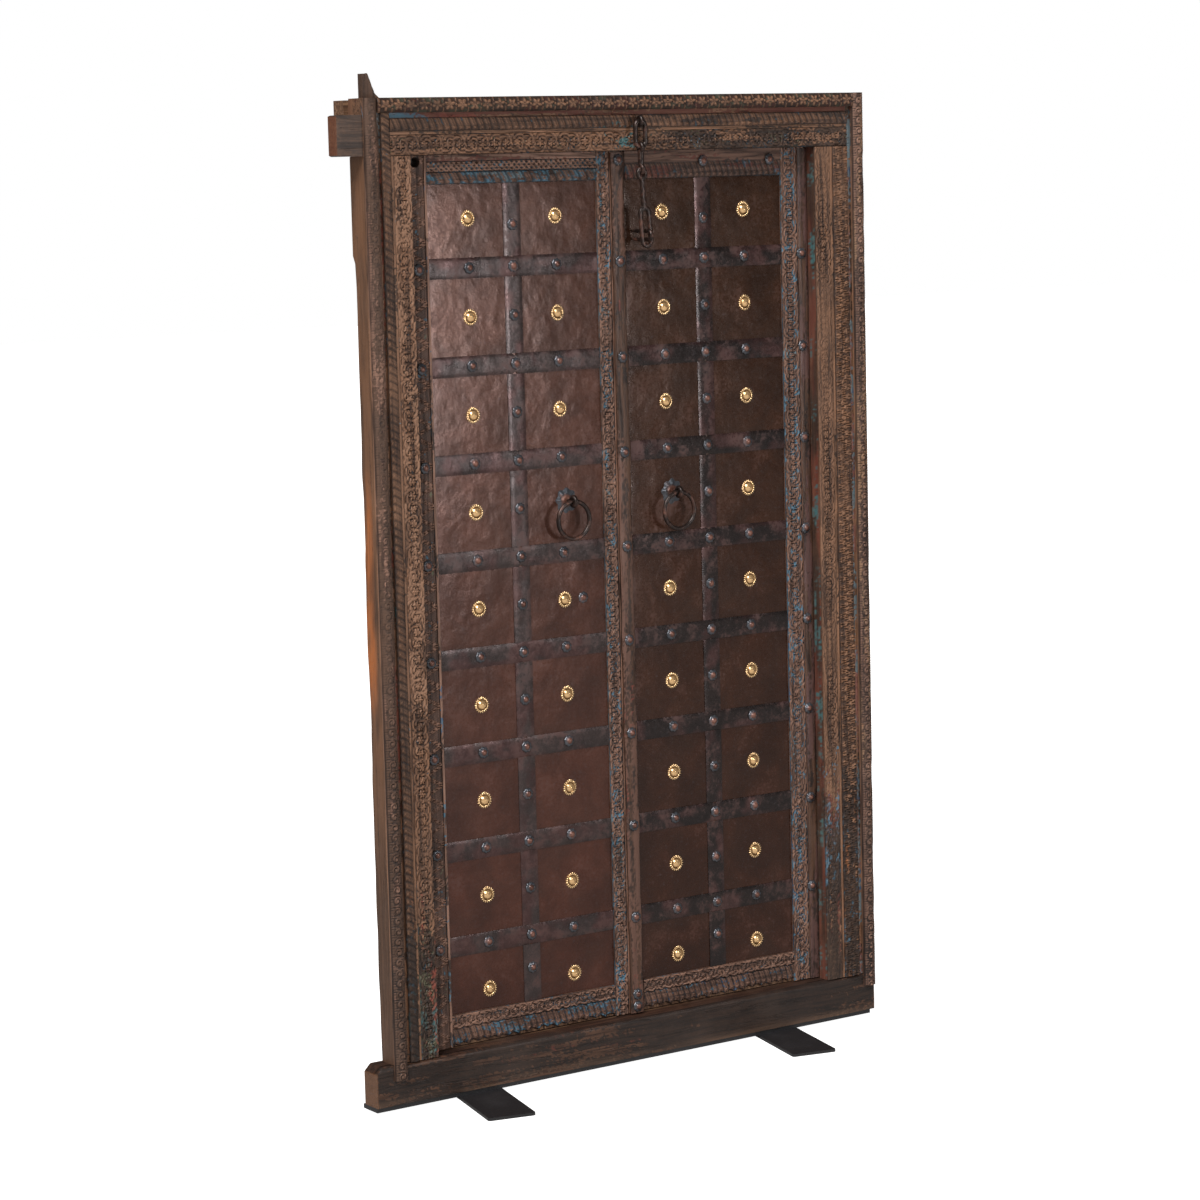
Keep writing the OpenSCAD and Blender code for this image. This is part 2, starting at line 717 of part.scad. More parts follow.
module cross_strap_set(s) {
    difference() {
        for (z = strap_zs)
            block([field_hinge[s], strap_front, z - strap_w / 2],
                [field_meet[s], sheet_front, z + strap_w / 2]);
        nails(strap_stud_places(s), strap_front - CUT);
    }
}

module left_cross_straps() color(iron_strap) cross_strap_set(LEFT);
module right_cross_straps() color(iron_strap) cross_strap_set(RIGHT);

module strap_stud_set(s) {
    for (p = strap_stud_places(s)) dome_stud(p[0], p[1], strap_front, stud_r, stud_h, stud_rim);
}

module left_strap_studs() color(rust) strap_stud_set(LEFT);
module right_strap_studs() color(rust) strap_stud_set(RIGHT);

module left_edge_studs() color(rust) {
    for (p = hinge_stud_places[LEFT]) dome_stud(p[0], p[1], leaf_front, stud_r, stud_h, stud_rim);
    for (z = cover_stud_zs) dome_stud(cover_mid, z, leaf_front - cover_t, stud_r, stud_h, stud_rim);
}

module right_edge_studs() color(rust) {
    for (p = hinge_stud_places[RIGHT])
        dome_stud(p[0], p[1], leaf_front - edge_strip_t, stud_r, stud_h, stud_rim);
    for (p = top_rail_studs) dome_stud(p[0], p[1], leaf_front, stud_r, stud_h, stud_rim);
}

// Brass floret: thin rim, raised cup and a small central knob
module floret(x, z) {
    rim = 1.5;
    knob_r = 0.24 * floret_r;
    cup_r = 0.68 * floret_r;
    translate([x, sheet_front, z]) rotate([90, 0, 0]) rotate_extrude()
        polygon(concat([[0, 0], [floret_r, 0], [floret_r, rim], [cup_r, rim]],
            [for (a = [20 : 20 : 60]) [cup_r * cos(a), rim + (floret_h - rim - 2) * sin(a)]],
            [[knob_r, floret_h - 2], [knob_r, floret_h - 1], [0, floret_h]]));
    bar_y(x, z, nail_r, sheet_front, plank_front + nail_l);
}

module left_florets() color(brass_gold) for (p = floret_places(LEFT)) floret(p[0], p[1]);
module right_florets() color(brass_gold) for (p = floret_places(RIGHT)) floret(p[0], p[1]);

// ---------- ring pulls ----------

// Domed plate with a hole for the eye's shank
module ring_plate(s) {
    dome_h = 8;
    rim = 1.5;
    shoulder = [0.75 * plate_r, 3];
    translate([ring_x[s], sheet_front, ring_z]) rotate([90, 0, 0]) rotate_extrude()
        polygon([[eye_bar_r, 0], [plate_r, 0], [plate_r, rim], shoulder,
            [0.4 * plate_r, dome_h], [eye_bar_r, dome_h]]);
}

module left_ring_plate() color(rust) ring_plate(LEFT);
module right_ring_plate() color(rust) ring_plate(RIGHT);

// The eye encircles the ring's bar, which rests in its lower half
module ring_eye(s) {
    translate([ring_x[s], ring_y, ring_z]) eye_ring(eye_r, eye_bar_r);
    bar_y(ring_x[s], ring_z, eye_bar_r, ring_y + eye_r, plank_back);
    washer_r = 2.2 * eye_bar_r;
    washer_t = 3;
    translate([ring_x[s], plank_back, ring_z]) rotate([-90, 0, 0])
        cylinder(r = washer_r, h = washer_t);
}

module left_ring_eye() color(rust) ring_eye(LEFT);
module right_ring_eye() color(rust) ring_eye(RIGHT);

module pull_ring(s) {
    translate([ring_x[s], ring_y, ring_z - ring_r]) face_ring(ring_r, ring_bar_r);
}

module left_ring() color(iron_strap) pull_ring(LEFT);
module right_ring() color(iron_strap) pull_ring(RIGHT);

// ---------- chain ----------

// Fixed eye in the head, from which the chain hangs
module chain_staple() color(rust) {
    translate([hang_x, chain_y, loop_top_z]) eye_ring(chain_eye_r, link_bar_r);
    bar_y(hang_x, loop_top_z, link_bar_r, chain_y + chain_eye_r, head_back);
}

// Long loop that faces the front
module chain_loop() color(rust) translate([hang_x, chain_y, loop_top_z]) {
    bend_r = loop_w / 2;
    straight = loop_h - loop_w;
    for (x = [-bend_r, bend_r])
        translate([x, 0, -bend_r - straight]) cylinder(r = link_bar_r, h = straight);
    for (end = [0, 1])
        translate([0, 0, -bend_r - end * straight]) rotate([90, end * 180, 0])
            rotate_extrude(angle = 180) translate([bend_r, 0]) circle(r = link_bar_r);
}

// Link with an eye at each end, both seen from the side
module chain_twist() color(rust) translate([hang_x, chain_y, twist_top_z]) {
    shank = twist_h - 2 * chain_eye_r;
    eye_ring(chain_eye_r, link_bar_r);
    translate([0, 0, -twist_h]) eye_ring(chain_eye_r, link_bar_r);
    shank_r = 1.4 * link_bar_r;
    translate([0, 0, -chain_eye_r - shank]) cylinder(r = shank_r, h = shank);
}

// Hasp: an eye, a bar and a slotted end
module chain_hasp() color(rust) translate([hang_x, chain_y, hasp_top_z])
    rotate([0, -hasp_lean, 0]) {
        bar_l = hasp_l - hasp_slot_end_l - 2 * hasp_eye_r;
        slot_top = 2 * hasp_eye_r + bar_l;
        translate([0, 0, -hasp_eye_r]) face_ring(hasp_eye_r, link_bar_r);
        rotate([90, 0, 0]) linear_extrude(hasp_t, center = true) difference() {
            union() {
                translate([-link_bar_r, -slot_top - 4]) square([2 * link_bar_r, bar_l + 4]);
                stadium(hasp_w, slot_top, hasp_slot_end_l);
            }
            stadium(hasp_slot_w, slot_top + (hasp_w - hasp_slot_w) / 2,
                hasp_slot_end_l - hasp_w + hasp_slot_w);
        }
    }

// A long shape with round ends, hanging below y = -top
module stadium(w, top, l) {
    for (y = [-top - w / 2, -top - l + w / 2]) translate([0, y]) circle(d = w);
    translate([-w / 2, -top - l + w / 2]) square([w, l - w]);
}

// The two legs of the hasp staple, one above the other
module staple_legs(y0) {
    for (dz = [-staple_gap / 2, staple_gap / 2])
        bar_y(staple_x, staple_z + dz, staple_bar_r, y0, plank_back);
}

// Staple on the right leaf: it reaches through the hasp's slot
module hasp_staple() color(rust) {
    bend_y = staple_front + staple_gap / 2;
    staple_legs(bend_y);
    translate([staple_x, bend_y, staple_z]) rotate([0, 90, 0]) rotate([0, 0, 180])
        rotate_extrude(angle = 180) translate([staple_gap / 2, 0]) circle(r = staple_bar_r);
}

base_strip();
base_screws();
left_foot();
right_foot();
sill();
pivot_sill();
left_jamb();
right_jamb();
head_beam();
pivot_beam();
left_moulding();
right_moulding();
head_moulding();
frame_pegs();
chain_staple();
left_hinge_stile();
left_planks();
left_meeting_stile();
left_cover_strip();
left_top_rail();
left_foot_rail();
left_sheets();
left_upright_straps();
left_cross_straps();
left_strap_studs();
left_edge_studs();
left_florets();
left_ledges();
left_ring_plate();
left_ring_eye();
left_ring();
right_hinge_stile();
right_planks();
right_edge_strip();
right_top_rail();
right_foot_rail();
right_sheets();
right_upright_straps();
right_cross_straps();
right_strap_studs();
right_edge_studs();
right_florets();
right_ledges();
right_ring_plate();
right_ring_eye();
right_ring();
hasp_staple();
chain_loop();
chain_twist();
chain_hasp();
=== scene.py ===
"""Finish of a carved double-leaf door in its frame: carving, iron cladding, fittings and stage.

Timbers are swept along their length with the carving cut into their front. Studs and florets are
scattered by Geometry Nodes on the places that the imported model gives. Lengths in the helpers are
millimetres, and add_piece turns them into metres.
"""

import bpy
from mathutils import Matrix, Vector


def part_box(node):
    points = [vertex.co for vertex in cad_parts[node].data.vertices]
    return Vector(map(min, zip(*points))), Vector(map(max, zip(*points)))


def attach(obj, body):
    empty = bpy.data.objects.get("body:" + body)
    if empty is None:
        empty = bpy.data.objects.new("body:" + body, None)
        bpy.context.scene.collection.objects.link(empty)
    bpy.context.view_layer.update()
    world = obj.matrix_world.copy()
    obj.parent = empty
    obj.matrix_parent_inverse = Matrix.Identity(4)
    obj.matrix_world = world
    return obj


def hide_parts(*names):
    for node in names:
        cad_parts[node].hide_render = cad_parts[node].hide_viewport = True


bl_info = {
    "name": "Carved Door Finish",
    "version": (1, 0, 0),
    "blender": (4, 5, 0),
    "location": "View3D > Sidebar > Carved Door",
    "description": "Carves the timbers, clads the leaves and lights the stage",
    "category": "Object",
}

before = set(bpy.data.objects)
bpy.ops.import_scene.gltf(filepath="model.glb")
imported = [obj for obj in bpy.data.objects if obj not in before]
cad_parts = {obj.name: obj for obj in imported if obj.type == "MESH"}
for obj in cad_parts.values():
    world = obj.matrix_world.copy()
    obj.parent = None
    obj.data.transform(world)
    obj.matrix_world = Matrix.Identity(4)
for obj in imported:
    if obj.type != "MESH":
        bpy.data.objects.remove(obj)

import math
from collections import namedtuple

import bmesh
import bpy
import numpy as np
from bpy.props import (FloatProperty, FloatVectorProperty, IntProperty, PointerProperty)
from mathutils import Matrix, Vector

MM = 0.001
REBATE = 30  # from a jamb's front to the stop that the leaves close on, in millimetres
VOXEL = 0.0011  # grain of the merged copies of forged pieces, in metres
LEFT, RIGHT = "left", "right"

# Paint left on the carving, as linear colours
SKY_BLUE = (0.055, 0.17, 0.25)
PALE_BLUE = (0.13, 0.20, 0.23)
DEEP_BLUE = (0.02, 0.10, 0.20)
TURQUOISE = (0.035, 0.13, 0.14)
SAGE = (0.16, 0.17, 0.10)
OLD_RED = (0.20, 0.045, 0.03)
RED_BROWN = (0.115, 0.03, 0.02)
ORANGE_WOOD = (0.24, 0.085, 0.030)
BARE_WOOD = (0.30, 0.155, 0.075)
PALE_WOOD = (0.25, 0.14, 0.08)
SOOT = (0.012, 0.009, 0.008)
PINK = (0.22, 0.09, 0.075)

# ---------- settings ----------


def length(name, text, value):
    return FloatProperty(name=name, description=text, default=value, min=0, unit="LENGTH")


def share(name, text, value):
    return FloatProperty(name=name, description=text, default=value, min=0, max=1, subtype="FACTOR")


def amount(name, text, value, **extras):
    return FloatProperty(name=name, description=text, default=value, min=0, **extras)


def turn(name, text, value):
    return FloatProperty(name=name, description=text, default=value, subtype="ANGLE",
                         unit="ROTATION")


def colour(name, text, value):
    return FloatVectorProperty(name=name, description=text, default=value, size=3, min=0, max=1,
                               subtype="COLOR")


class DoorCarving(bpy.types.PropertyGroup):
    """Sizes of the carved bands."""

    cell: length("Cell", "Width of one cell across a carved face", 0.0021)
    step: length("Step", "Distance between two sections along a timber", 0.0024)
    band_depth: length("Band depth", "How deep the bands are cut", 0.0044)
    leaf_depth: length("Leaf depth", "How deep the stiles and rails of the leaves are cut", 0.0046)
    groove_width: length("Groove width", "Width of the groove beside the moulding", 0.010)
    groove_depth: length("Groove depth", "Depth of that groove", 0.006)
    band_rise: length("Band rise", "How far the second band stands proud", 0.003)
    step_width: length("Step width", "Width of the thin step beside the inner band", 0.006)
    inner_band: length("Inner band", "Width of the band nearest the opening", 0.041)
    rope_pitch: length("Leaf pitch", "Distance between the slanted leaves", 0.016)
    scroll_pitch: length("Scroll pitch", "Distance between the rosettes of the scroll", 0.027)
    flower_pitch: length("Flower pitch", "Distance between the flowers of the head moulding", 0.029)
    zigzag_pitch: length("Zigzag pitch", "Length of one zigzag on the left hinge stile", 0.040)
    stile_pitch: length("Stile pitch", "Distance between the rosettes of the right hinge stile",
                        0.024)
    lattice_pitch: length("Lattice pitch", "Distance between the lattice flowers", 0.038)
    wear: share("Wear", "How much of the carving is rubbed flat", 0.55)
    chips: length("Chips", "Depth of the chips along the outer corner", 0.006)
    paint: share("Paint", "How much paint is left in the hollows", 0.5)


class DoorIron(bpy.types.PropertyGroup):
    """Sizes of the sheets, straps, studs and pulls."""

    bulge: length("Bulge", "How far a sheet swells between its straps", 0.0012)
    dents: length("Dents", "Depth of the dents in the sheets", 0.0009)
    stud_petals: IntProperty(name="Stud petals", description="Petals round a stud", default=8,
                             min=3)
    floret_flutes: IntProperty(name="Floret flutes", description="Flutes round a floret",
                               default=20,
                               min=6)
    tilt: FloatProperty(name="Tilt", description="How far a stud may sit askew",
                        default=math.radians(3), subtype="ANGLE", unit="ROTATION")
    seed: IntProperty(name="Seed", description="Seed of the random turns", default=7)
    hammer: length("Hammer marks", "Depth of the hammer marks on forged bars", 0.0003)
    chain_swell: length("Chain swell", "How much stouter the forged chain is than its drawing",
                        0.0017)


class DoorColours(bpy.types.PropertyGroup):
    """Colours of the finishes."""

    carved_dark: colour("Carved hollow", "Dark wood in the hollows of the carving",
                        (0.028, 0.014, 0.010))
    carved_mid: colour("Carved wood", "Wood of the carving", (0.135, 0.070, 0.048))
    carved_light: colour("Carved ridge", "Rubbed ridges of the carving", (0.30, 0.165, 0.115))
    frame_dark: colour("Frame hollow", "Dark wood in the frame's hollows", (0.034, 0.017, 0.011))
    frame_mid: colour("Frame wood", "Wood of the frame", (0.125, 0.060, 0.033))
    frame_light: colour("Frame ridge", "Rubbed ridges of the frame", (0.27, 0.138, 0.078))
    worn_dark: colour("Worn hollow", "Dark grain of the sill and the strips", (0.014, 0.007, 0.005))
    worn_mid: colour("Worn wood", "Wood of the sill and the strips", (0.046, 0.021, 0.013))
    worn_light: colour("Worn edge", "Rubbed edges of the sill and the strips",
                       (0.115, 0.057, 0.033))
    plain_dark: colour("Plain grain", "Dark grain of the planks and beams", (0.060, 0.028, 0.015))
    plain_mid: colour("Plain wood", "Wood of the planks and beams", (0.155, 0.080, 0.043))
    plain_light: colour("Plain edge", "Light grain of the planks and beams", (0.30, 0.175, 0.10))
    sheet_left: colour("Left sheets", "Patina of the left leaf's sheets", (0.078, 0.032, 0.020))
    sheet_right: colour("Right sheets", "Patina of the right leaf's sheets",
                        (0.044, 0.0165, 0.0065))
    strap: colour("Straps", "Dark patina of the straps", (0.026, 0.018, 0.017))
    rust: colour("Rust", "Rust on the iron", (0.135, 0.052, 0.032))
    forged: colour("Forged iron", "Dark skin of the forged iron", (0.030, 0.019, 0.016))
    brass: colour("Brass", "Metal of the florets", (0.88, 0.56, 0.27))
    tarnish: colour("Tarnish", "Dull brass in the hollows", (0.16, 0.075, 0.02))
    black: colour("Black iron", "Painted stand", (0.010, 0.009, 0.010))
    floor: colour("Floor", "Studio floor", (0.45, 0.44, 0.43))


class DoorStage(bpy.types.PropertyGroup):
    """Camera and lights."""

    lens: amount("Lens", "Focal length", 102, unit="CAMERA")
    place: FloatVectorProperty(name="Place", description="Where the camera stands", size=3,
                               default=(-3.9402, -5.7130, 1.8633), subtype="TRANSLATION")
    yaw: turn("Yaw", "Turn of the view to the right", 0.59861)
    pitch: turn("Pitch", "Downward tilt of the view", 0.12723)
    roll: turn("Roll", "Roll of the view", -0.02493)
    sun: amount("Sun", "Strength of the soft light from above", 3.6)
    sun_spread: turn("Sun spread", "Angle that the soft light comes from", math.radians(30))
    key_power: amount("Key", "Power of the key light", 66, unit="POWER")
    side_power: amount("Side", "Power of the tall side light", 46, unit="POWER")
    sky: amount("Sky", "Strength of the surrounding light", 0.27)
    floor_glow: amount("Floor glow", "Light that hides the floor's shadows", 1.0)
    mirrored: amount("Mirrored room", "Brightness of what shiny parts mirror", 0.05)


# ---------- measures ----------


def box_mm(node):
    """Lowest and highest corner of a node, in millimetres."""
    low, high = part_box(node)
    return np.array(low) / MM, np.array(high) / MM


def solids_mm(node):
    """Lowest and highest corner of each separate solid of a node, from the top down."""
    shape = bmesh.new()
    shape.from_mesh(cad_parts[node].data)
    bmesh.ops.remove_doubles(shape, verts=shape.verts, dist=1e-6)
    unseen, found = set(shape.verts), []
    while unseen:
        front, corners = [unseen.pop()], []
        while front:
            vert = front.pop()
            corners.append(vert.co[:])
            for edge in vert.link_edges:
                other = edge.other_vert(vert)
                if other in unseen:
                    unseen.remove(other)
                    front.append(other)
        corners = np.array(corners) / MM
        found.append((corners.min(0), corners.max(0)))
    shape.free()
    return sorted(found, key=lambda box: (-round(box[0][2]), box[0][0]))


def ramp(value, low, high):
    """0 below low, 1 above high, and straight between."""
    return np.clip((value - low) / (high - low), 0, 1)


def noise(u, v, seed):
    """Smooth random values from 0 to 1 over a plane, one cell per unit."""
    column, row = np.floor(u).astype(np.int64), np.floor(v).astype(np.int64)
    across, along = u - column, v - row
    across, along = across * across * (3 - 2 * across), along * along * (3 - 2 * along)

    def corner(i, j):
        mixed = (i * 374761393 + j * 668265263 + seed * 974634777) & 0xFFFFFFFF
        mixed = ((mixed ^ (mixed >> 13)) * 1274126177) & 0xFFFFFFFF
        return ((mixed ^ (mixed >> 16)) & 0xFFFF) / 0xFFFF

    low = corner(column, row) * (1 - across) + corner(column + 1, row) * across
    high = corner(column, row + 1) * (1 - across) + corner(column + 1, row + 1) * across
    return low * (1 - along) + high * along


def rough(u, v, seed):
    """Noise with three sizes of detail."""
    return (0.55 * noise(u, v, seed) + 0.3 * noise(2.1 * u, 2.1 * v, seed + 1)
            + 0.15 * noise(4.3 * u, 4.3 * v, seed + 2))


# ---------- carving motifs: height from 0 to 1 at u across and v along a band ----------


def border(u, width, rim=1.8):
    return ramp(np.minimum(u, width - u), 0.2, rim)


def polar_cells(u, v, width, pitch):
    """Distance and angle from the middle of each cell, turned over in every other cell."""
    cell = np.floor(v / pitch)
    along = v - (cell + 0.5) * pitch
    across = np.where(cell % 2 == 0, u, width - u) - 0.5 * width
    return np.hypot(across, along), np.arctan2(along, across)


def flat(u, v, width):
    return np.ones_like(u + v)


def slanted_leaves(u, v, width, pitch=16.0, slant=0.75):
    """Rows of curled leaves, each with a rib and small lobes."""
    side = u / width
    turn = v / pitch + slant * np.abs(side - 0.18) ** 1.25
    along = turn % 1
    leaf = np.sin(np.pi * along) ** 0.8
    lobes = 0.72 + 0.28 * np.abs(np.sin(np.pi * (3.5 * side + 2 * along)))
    rib = np.exp(-((along - 0.55) / 0.10) ** 2)
    eye = ramp(2.4 - np.hypot((along - 0.5) * pitch, u - 0.24 * width), 0, 1.2)
    return np.maximum.reduce([leaf * lobes * (0.75 - 0.45 * rib), 0.9 * eye]) * border(u, width)


def vine_scroll(u, v, width, pitch=27.0):
    """Rosettes in the turns of a winding stem, with leaves round them."""
    r, angle = polar_cells(u, v, width, pitch)
    reach = 0.30 * pitch * (1 + 0.2 * np.cos(6 * angle))
    petals = ramp(reach - r, 0, 1.6) * (0.72 + 0.28 * np.cos(6 * angle)) * ramp(r, 2.2, 3.4)
    boss = ramp(3.1 - r, 0, 1.3)
    stem = np.exp(-((u - width / 2 - 0.40 * width * np.sin(np.pi * (v / pitch - 0.5))) / 1.7) ** 2)
    leaves = 0.85 * np.abs(np.sin(2.5 * angle + 0.4 * r)) ** 0.6 * ramp(r - reach, 0.6, 2.2)
    return np.maximum.reduce([petals, boss, 0.95 * stem, leaves]) * border(u, width)


def zigzag(u, v, width, pitch=40.0):
    """A raised zigzag with cut diamonds along it, and fluted triangles beside it."""
    fold = np.abs((v / pitch) % 1 * 2 - 1)
    slope = math.hypot(1, 2 * width / pitch)
    away = (u - fold * width) / slope
    strip = ramp(4.2 - np.abs(away), 0, 1.2)
    along = (v / 5.2) % 1 - 0.5
    pits = ramp(0.42 - np.abs(along) - np.abs(away) / 7, 0, 0.12)
    flutes = 0.22 + 0.28 * np.abs(np.sin(np.pi * away / 4.2))
    return np.maximum(strip * (1 - 0.75 * pits), flutes) * border(u, width)


def flower_row(u, v, width, pitch=29.0):
    """Small lobed flowers with a bead between each two."""
    r, angle = polar_cells(u, v, width, pitch)
    reach = 0.36 * pitch * (1 + 0.22 * np.cos(5 * angle))
    lobes = ramp(reach - r, 0, 1.8) * (0.7 + 0.3 * np.cos(5 * angle)) * ramp(r, 1.8, 3.0)
    centre = ramp(2.6 - r, 0, 1.2)
    bead_v = np.abs((v / pitch) % 1 - 0.5) - 0.5
    bead = ramp(0.11 - np.hypot(bead_v, (u - width / 2) / pitch), 0, 0.05)
    tips = ramp(0.07 - np.abs(bead_v), 0, 0.03) * ramp(np.abs(u - width / 2), 4, 6)
    return np.maximum.reduce([lobes, centre, bead, 0.8 * tips])


def curl_leaves(u, v, width, pitch=22.0):
    """Leaves that curl into an S along the band."""
    r, angle = polar_cells(u, v, width, pitch)
    curl = (0.5 + 0.5 * np.sin(angle + 1.0 * r)) ** 0.8 * ramp(0.46 * pitch - r, 0, 2.5)
    boss = ramp(2.8 - r, 0, 1.2)
    tails = 0.75 * np.abs(np.sin(np.pi * (v / 5.5 + 0.5 * u / width))) * ramp(r - 0.40 * pitch, 0,
                                                                              2)
    return np.maximum.reduce([curl, boss, tails]) * border(u, width)


def lattice(u, v, width, pitch=38.0):
    """Crossing ribs with a four-petalled flower in each mesh."""
    one, two = (u + v) / pitch, (u - v) / pitch
    rib = np.minimum(np.abs(one % 1 - 0.5), np.abs(two % 1 - 0.5)) * pitch
    ribs = ramp(3.2 - rib, 0, 1.2)
    r = np.hypot((one % 1) - np.round(one % 1), (two % 1) - np.round(two % 1)) * pitch
    angle = np.arctan2((one % 1) - np.round(one % 1), (two % 1) - np.round(two % 1))
    petals = ramp(9.5 * (1 + 0.3 * np.cos(4 * angle)) - r, 0, 1.6) * ramp(r, 2, 3.2)
    return np.maximum.reduce([ribs, 0.85 * petals, ramp(3 - r, 0, 1.2)]) * border(u, width)


def edge_leaves(u, v, width, pitch=15.0):
    """A plain board whose lower half carries a row of small leaves between two fine lines."""
    lower = 0.46 * width
    leaves = slanted_leaves(np.clip(u, 0, lower), v, lower, pitch)
    line = ramp(1.3 - np.abs(u - lower - 1.5), 0, 0.8)
    return np.where(u < lower, leaves, 0.66 - 0.5 * line)


def pitched(motif, pitch):
    """The motif at another pitch, given in metres."""
    return lambda u, v, width: motif(u, v, width, pitch / MM)


# ---------- paint: colour and cover at u across and v along a face ----------


def layer(rgb, cover):
    cover = np.clip(cover, 0, 1)
    return np.concatenate([np.broadcast_to(rgb, cover.shape + (3,)), cover[..., None]], -1)


def over(below, above):
    """Lays one layer of paint on another."""
    alpha = above[..., 3:]
    left = below[..., 3:] * (1 - alpha)
    total = alpha + left
    rgb = (above[..., :3] * alpha + below[..., :3] * left) / np.maximum(total, 1e-6)
    return np.concatenate([rgb, total], -1)


def traces(u, v, height, rgb, cover, seed, hollows=0.85, long=26.0):
    """Paint that stays in patches, and more in the hollows than on the ridges."""
    spots = 0.6 * noise(u / 11, v / long, seed) + 0.4 * noise(u / 3.2, v / 4.5, seed + 9)
    left = ramp(spots + 0.5 * hollows * (0.5 - height), 1 - cover - 0.05, 1 - cover + 0.10)
    return layer(rgb, left * (1 - 0.5 * hollows * height))


def no_paint(u, v, height):
    return layer(SOOT, np.zeros_like(height))


def paints(*layers):
    """One paint made of several, each given as (colour, cover or a function of v, seed, extras)."""
    def paint(u, v, height):
        total = no_paint(u, v, height)
        for rgb, cover, seed, *extra in layers:
            amount = cover(v) if callable(cover) else cover
            total = over(total, traces(u, v, height, rgb, amount, seed, *extra))
        return total
    return paint


def between(low, high, soft, cover):
    """Cover that holds from low to high along the timber, and fades beyond."""
    return lambda v: cover * ramp(v, low - soft,
                                  low + soft) * (1 - ramp(v, high - soft, high + soft))


# ---------- swept timbers ----------

Band = namedtuple("Band", "start end level motif depth paint cell")


def band(start, end, level, motif=flat, depth=0.0, paint=no_paint, cell=None):
    """A strip of a timber's front, from start to end across it, with its own depth and carving."""
    return Band(start, end, level, motif, depth, paint, cell)


def section(bands, back, cell, side_cell):
    """Points round a timber: a list of (band or None, u values, depths, side number)."""
    runs = []
    for strip in bands:
        count = max(1, math.ceil((strip.end - strip.start) / (strip.cell or cell)))
        runs.append((strip, np.linspace(strip.start, strip.end, count + 1), None, -1))
    corners = [(bands[-1].end, bands[-1].level)] + list(back) + [(bands[0].start, bands[0].level)]
    for side, ((u0, d0), (u1, d1)) in enumerate(zip(corners, corners[1:])):
        count = max(1, math.ceil(math.hypot(u1 - u0, d1 - d0) / side_cell))
        share_along = np.arange(1 if side == 0 else 0, count) / count
        if len(share_along):
            runs.append((None, u0 + (u1 - u0) * share_along, d0 + (d1 - d0) * share_along, side))
    return runs


def stations(start, end, step, *cuts):
    """Places along a timber, with two of them close together at each cut."""
    count = max(2, math.ceil((end - start) / step))
    places = set(np.round(np.linspace(start, end, count + 1), 3))
    for cut in cuts:
        places |= {round(cut - 0.05, 3), round(cut + 0.05, 3)}
    return np.array(sorted(places))


def rear(low, high, across):
    """The two rear corners of a timber whose front lies across one axis."""
    return [(high[across], high[1]), (low[across], high[1])]


def axes(grid):
    """Across, depth and along of every point of a timber's grid."""
    return grid[..., 0], grid[..., 1], grid[..., 2]


def upright(u, d, v):
    return np.stack([u, d, v], -1)


def level(u, d, v):
    return np.stack([v, d, u], -1)


def swept(bands, back, along, place, seed, wear=0.5, side_cell=6.0, side_paint=None, shape=None,
          cell=2.1, waver=0.5):
    """Closed shell of a timber, as points, faces, relief and tint."""
    runs = section(bands, back, cell, side_cell)
    loops, reliefs, tints = [], [], []
    for strip, across, depth, side in runs:
        u, v = np.meshgrid(across, along)
        if strip is None:
            height = np.full(u.shape, 0.75)
            y = np.broadcast_to(depth, u.shape).copy()
            tint = side_paint(side, u, y, v) if side_paint else no_paint(u, v, height)
        else:
            width = strip.end - strip.start
            height = strip.motif(u - strip.start, v, width)
            rubbed = wear * ramp(rough(u / 45, v / 110, seed), 0.42, 0.72)
            height = height * (1 - rubbed) + 0.82 * rubbed * np.minimum(1, 0.4 + height)
            y = strip.level + strip.depth * (1 - height)
            tint = strip.paint(u - strip.start, v, height)
            y = y + waver * (rough(u / 30, v / 70, seed + 5) - 0.35)
        loops.append(np.stack([u, y, v], -1))
        reliefs.append(height)
        tints.append(tint)
    grid = np.concatenate(loops, 1)
    relief, tint = np.concatenate(reliefs, 1), np.concatenate(tints, 1)
    if shape:
        grid, relief, tint = shape(grid, relief, tint)
    points = place(grid[..., 0], grid[..., 1], grid[..., 2])
    rows, count = relief.shape
    index = np.arange(rows * count).reshape(rows, count)
    turned = np.roll(index, -1, axis=1)
    quads = np.stack([index[:-1], turned[:-1], turned[1:], index[1:]], -1).reshape(-1, 4)
    faces = quads.tolist() + [index[0, ::-1].tolist(), index[-1].tolist()]
    return outwards(points.reshape(-1, 3), faces), relief.ravel(), tint.reshape(-1, 4)


def outwards(points, faces):
    """The shell with its faces turned outwards."""
    quads = np.array([f for f in faces if len(f) == 4])
    a, b, c, d = (points[quads[:, i]] for i in range(4))
    volume = np.einsum("ij,ij->", a, np.cross(b, c)) + np.einsum("ij,ij->", a, np.cross(c, d))
    for face in faces:
        if len(face) != 4:
            ring = points[face]
            volume += np.einsum("ij,ij->", np.cross(ring[1:-1], ring[2:]),
                                np.broadcast_to(ring[0], ring[2:].shape))
    if volume < 0:
        faces = [face[::-1] for face in faces]
    return points, faces


def joined(*shells):
    """Several shells with their relief and tint, as one."""
    points, faces, reliefs, tints, start = [], [], [], [], 0
    for (part_points, part_faces), relief, tint in shells:
        points.append(part_points)
        faces += [[i + start for i in face] for face in part_faces]
        reliefs.append(relief)
        tints.append(tint)
        start += len(part_points)
    return (np.concatenate(points), faces), np.concatenate(reliefs), np.concatenate(tints)


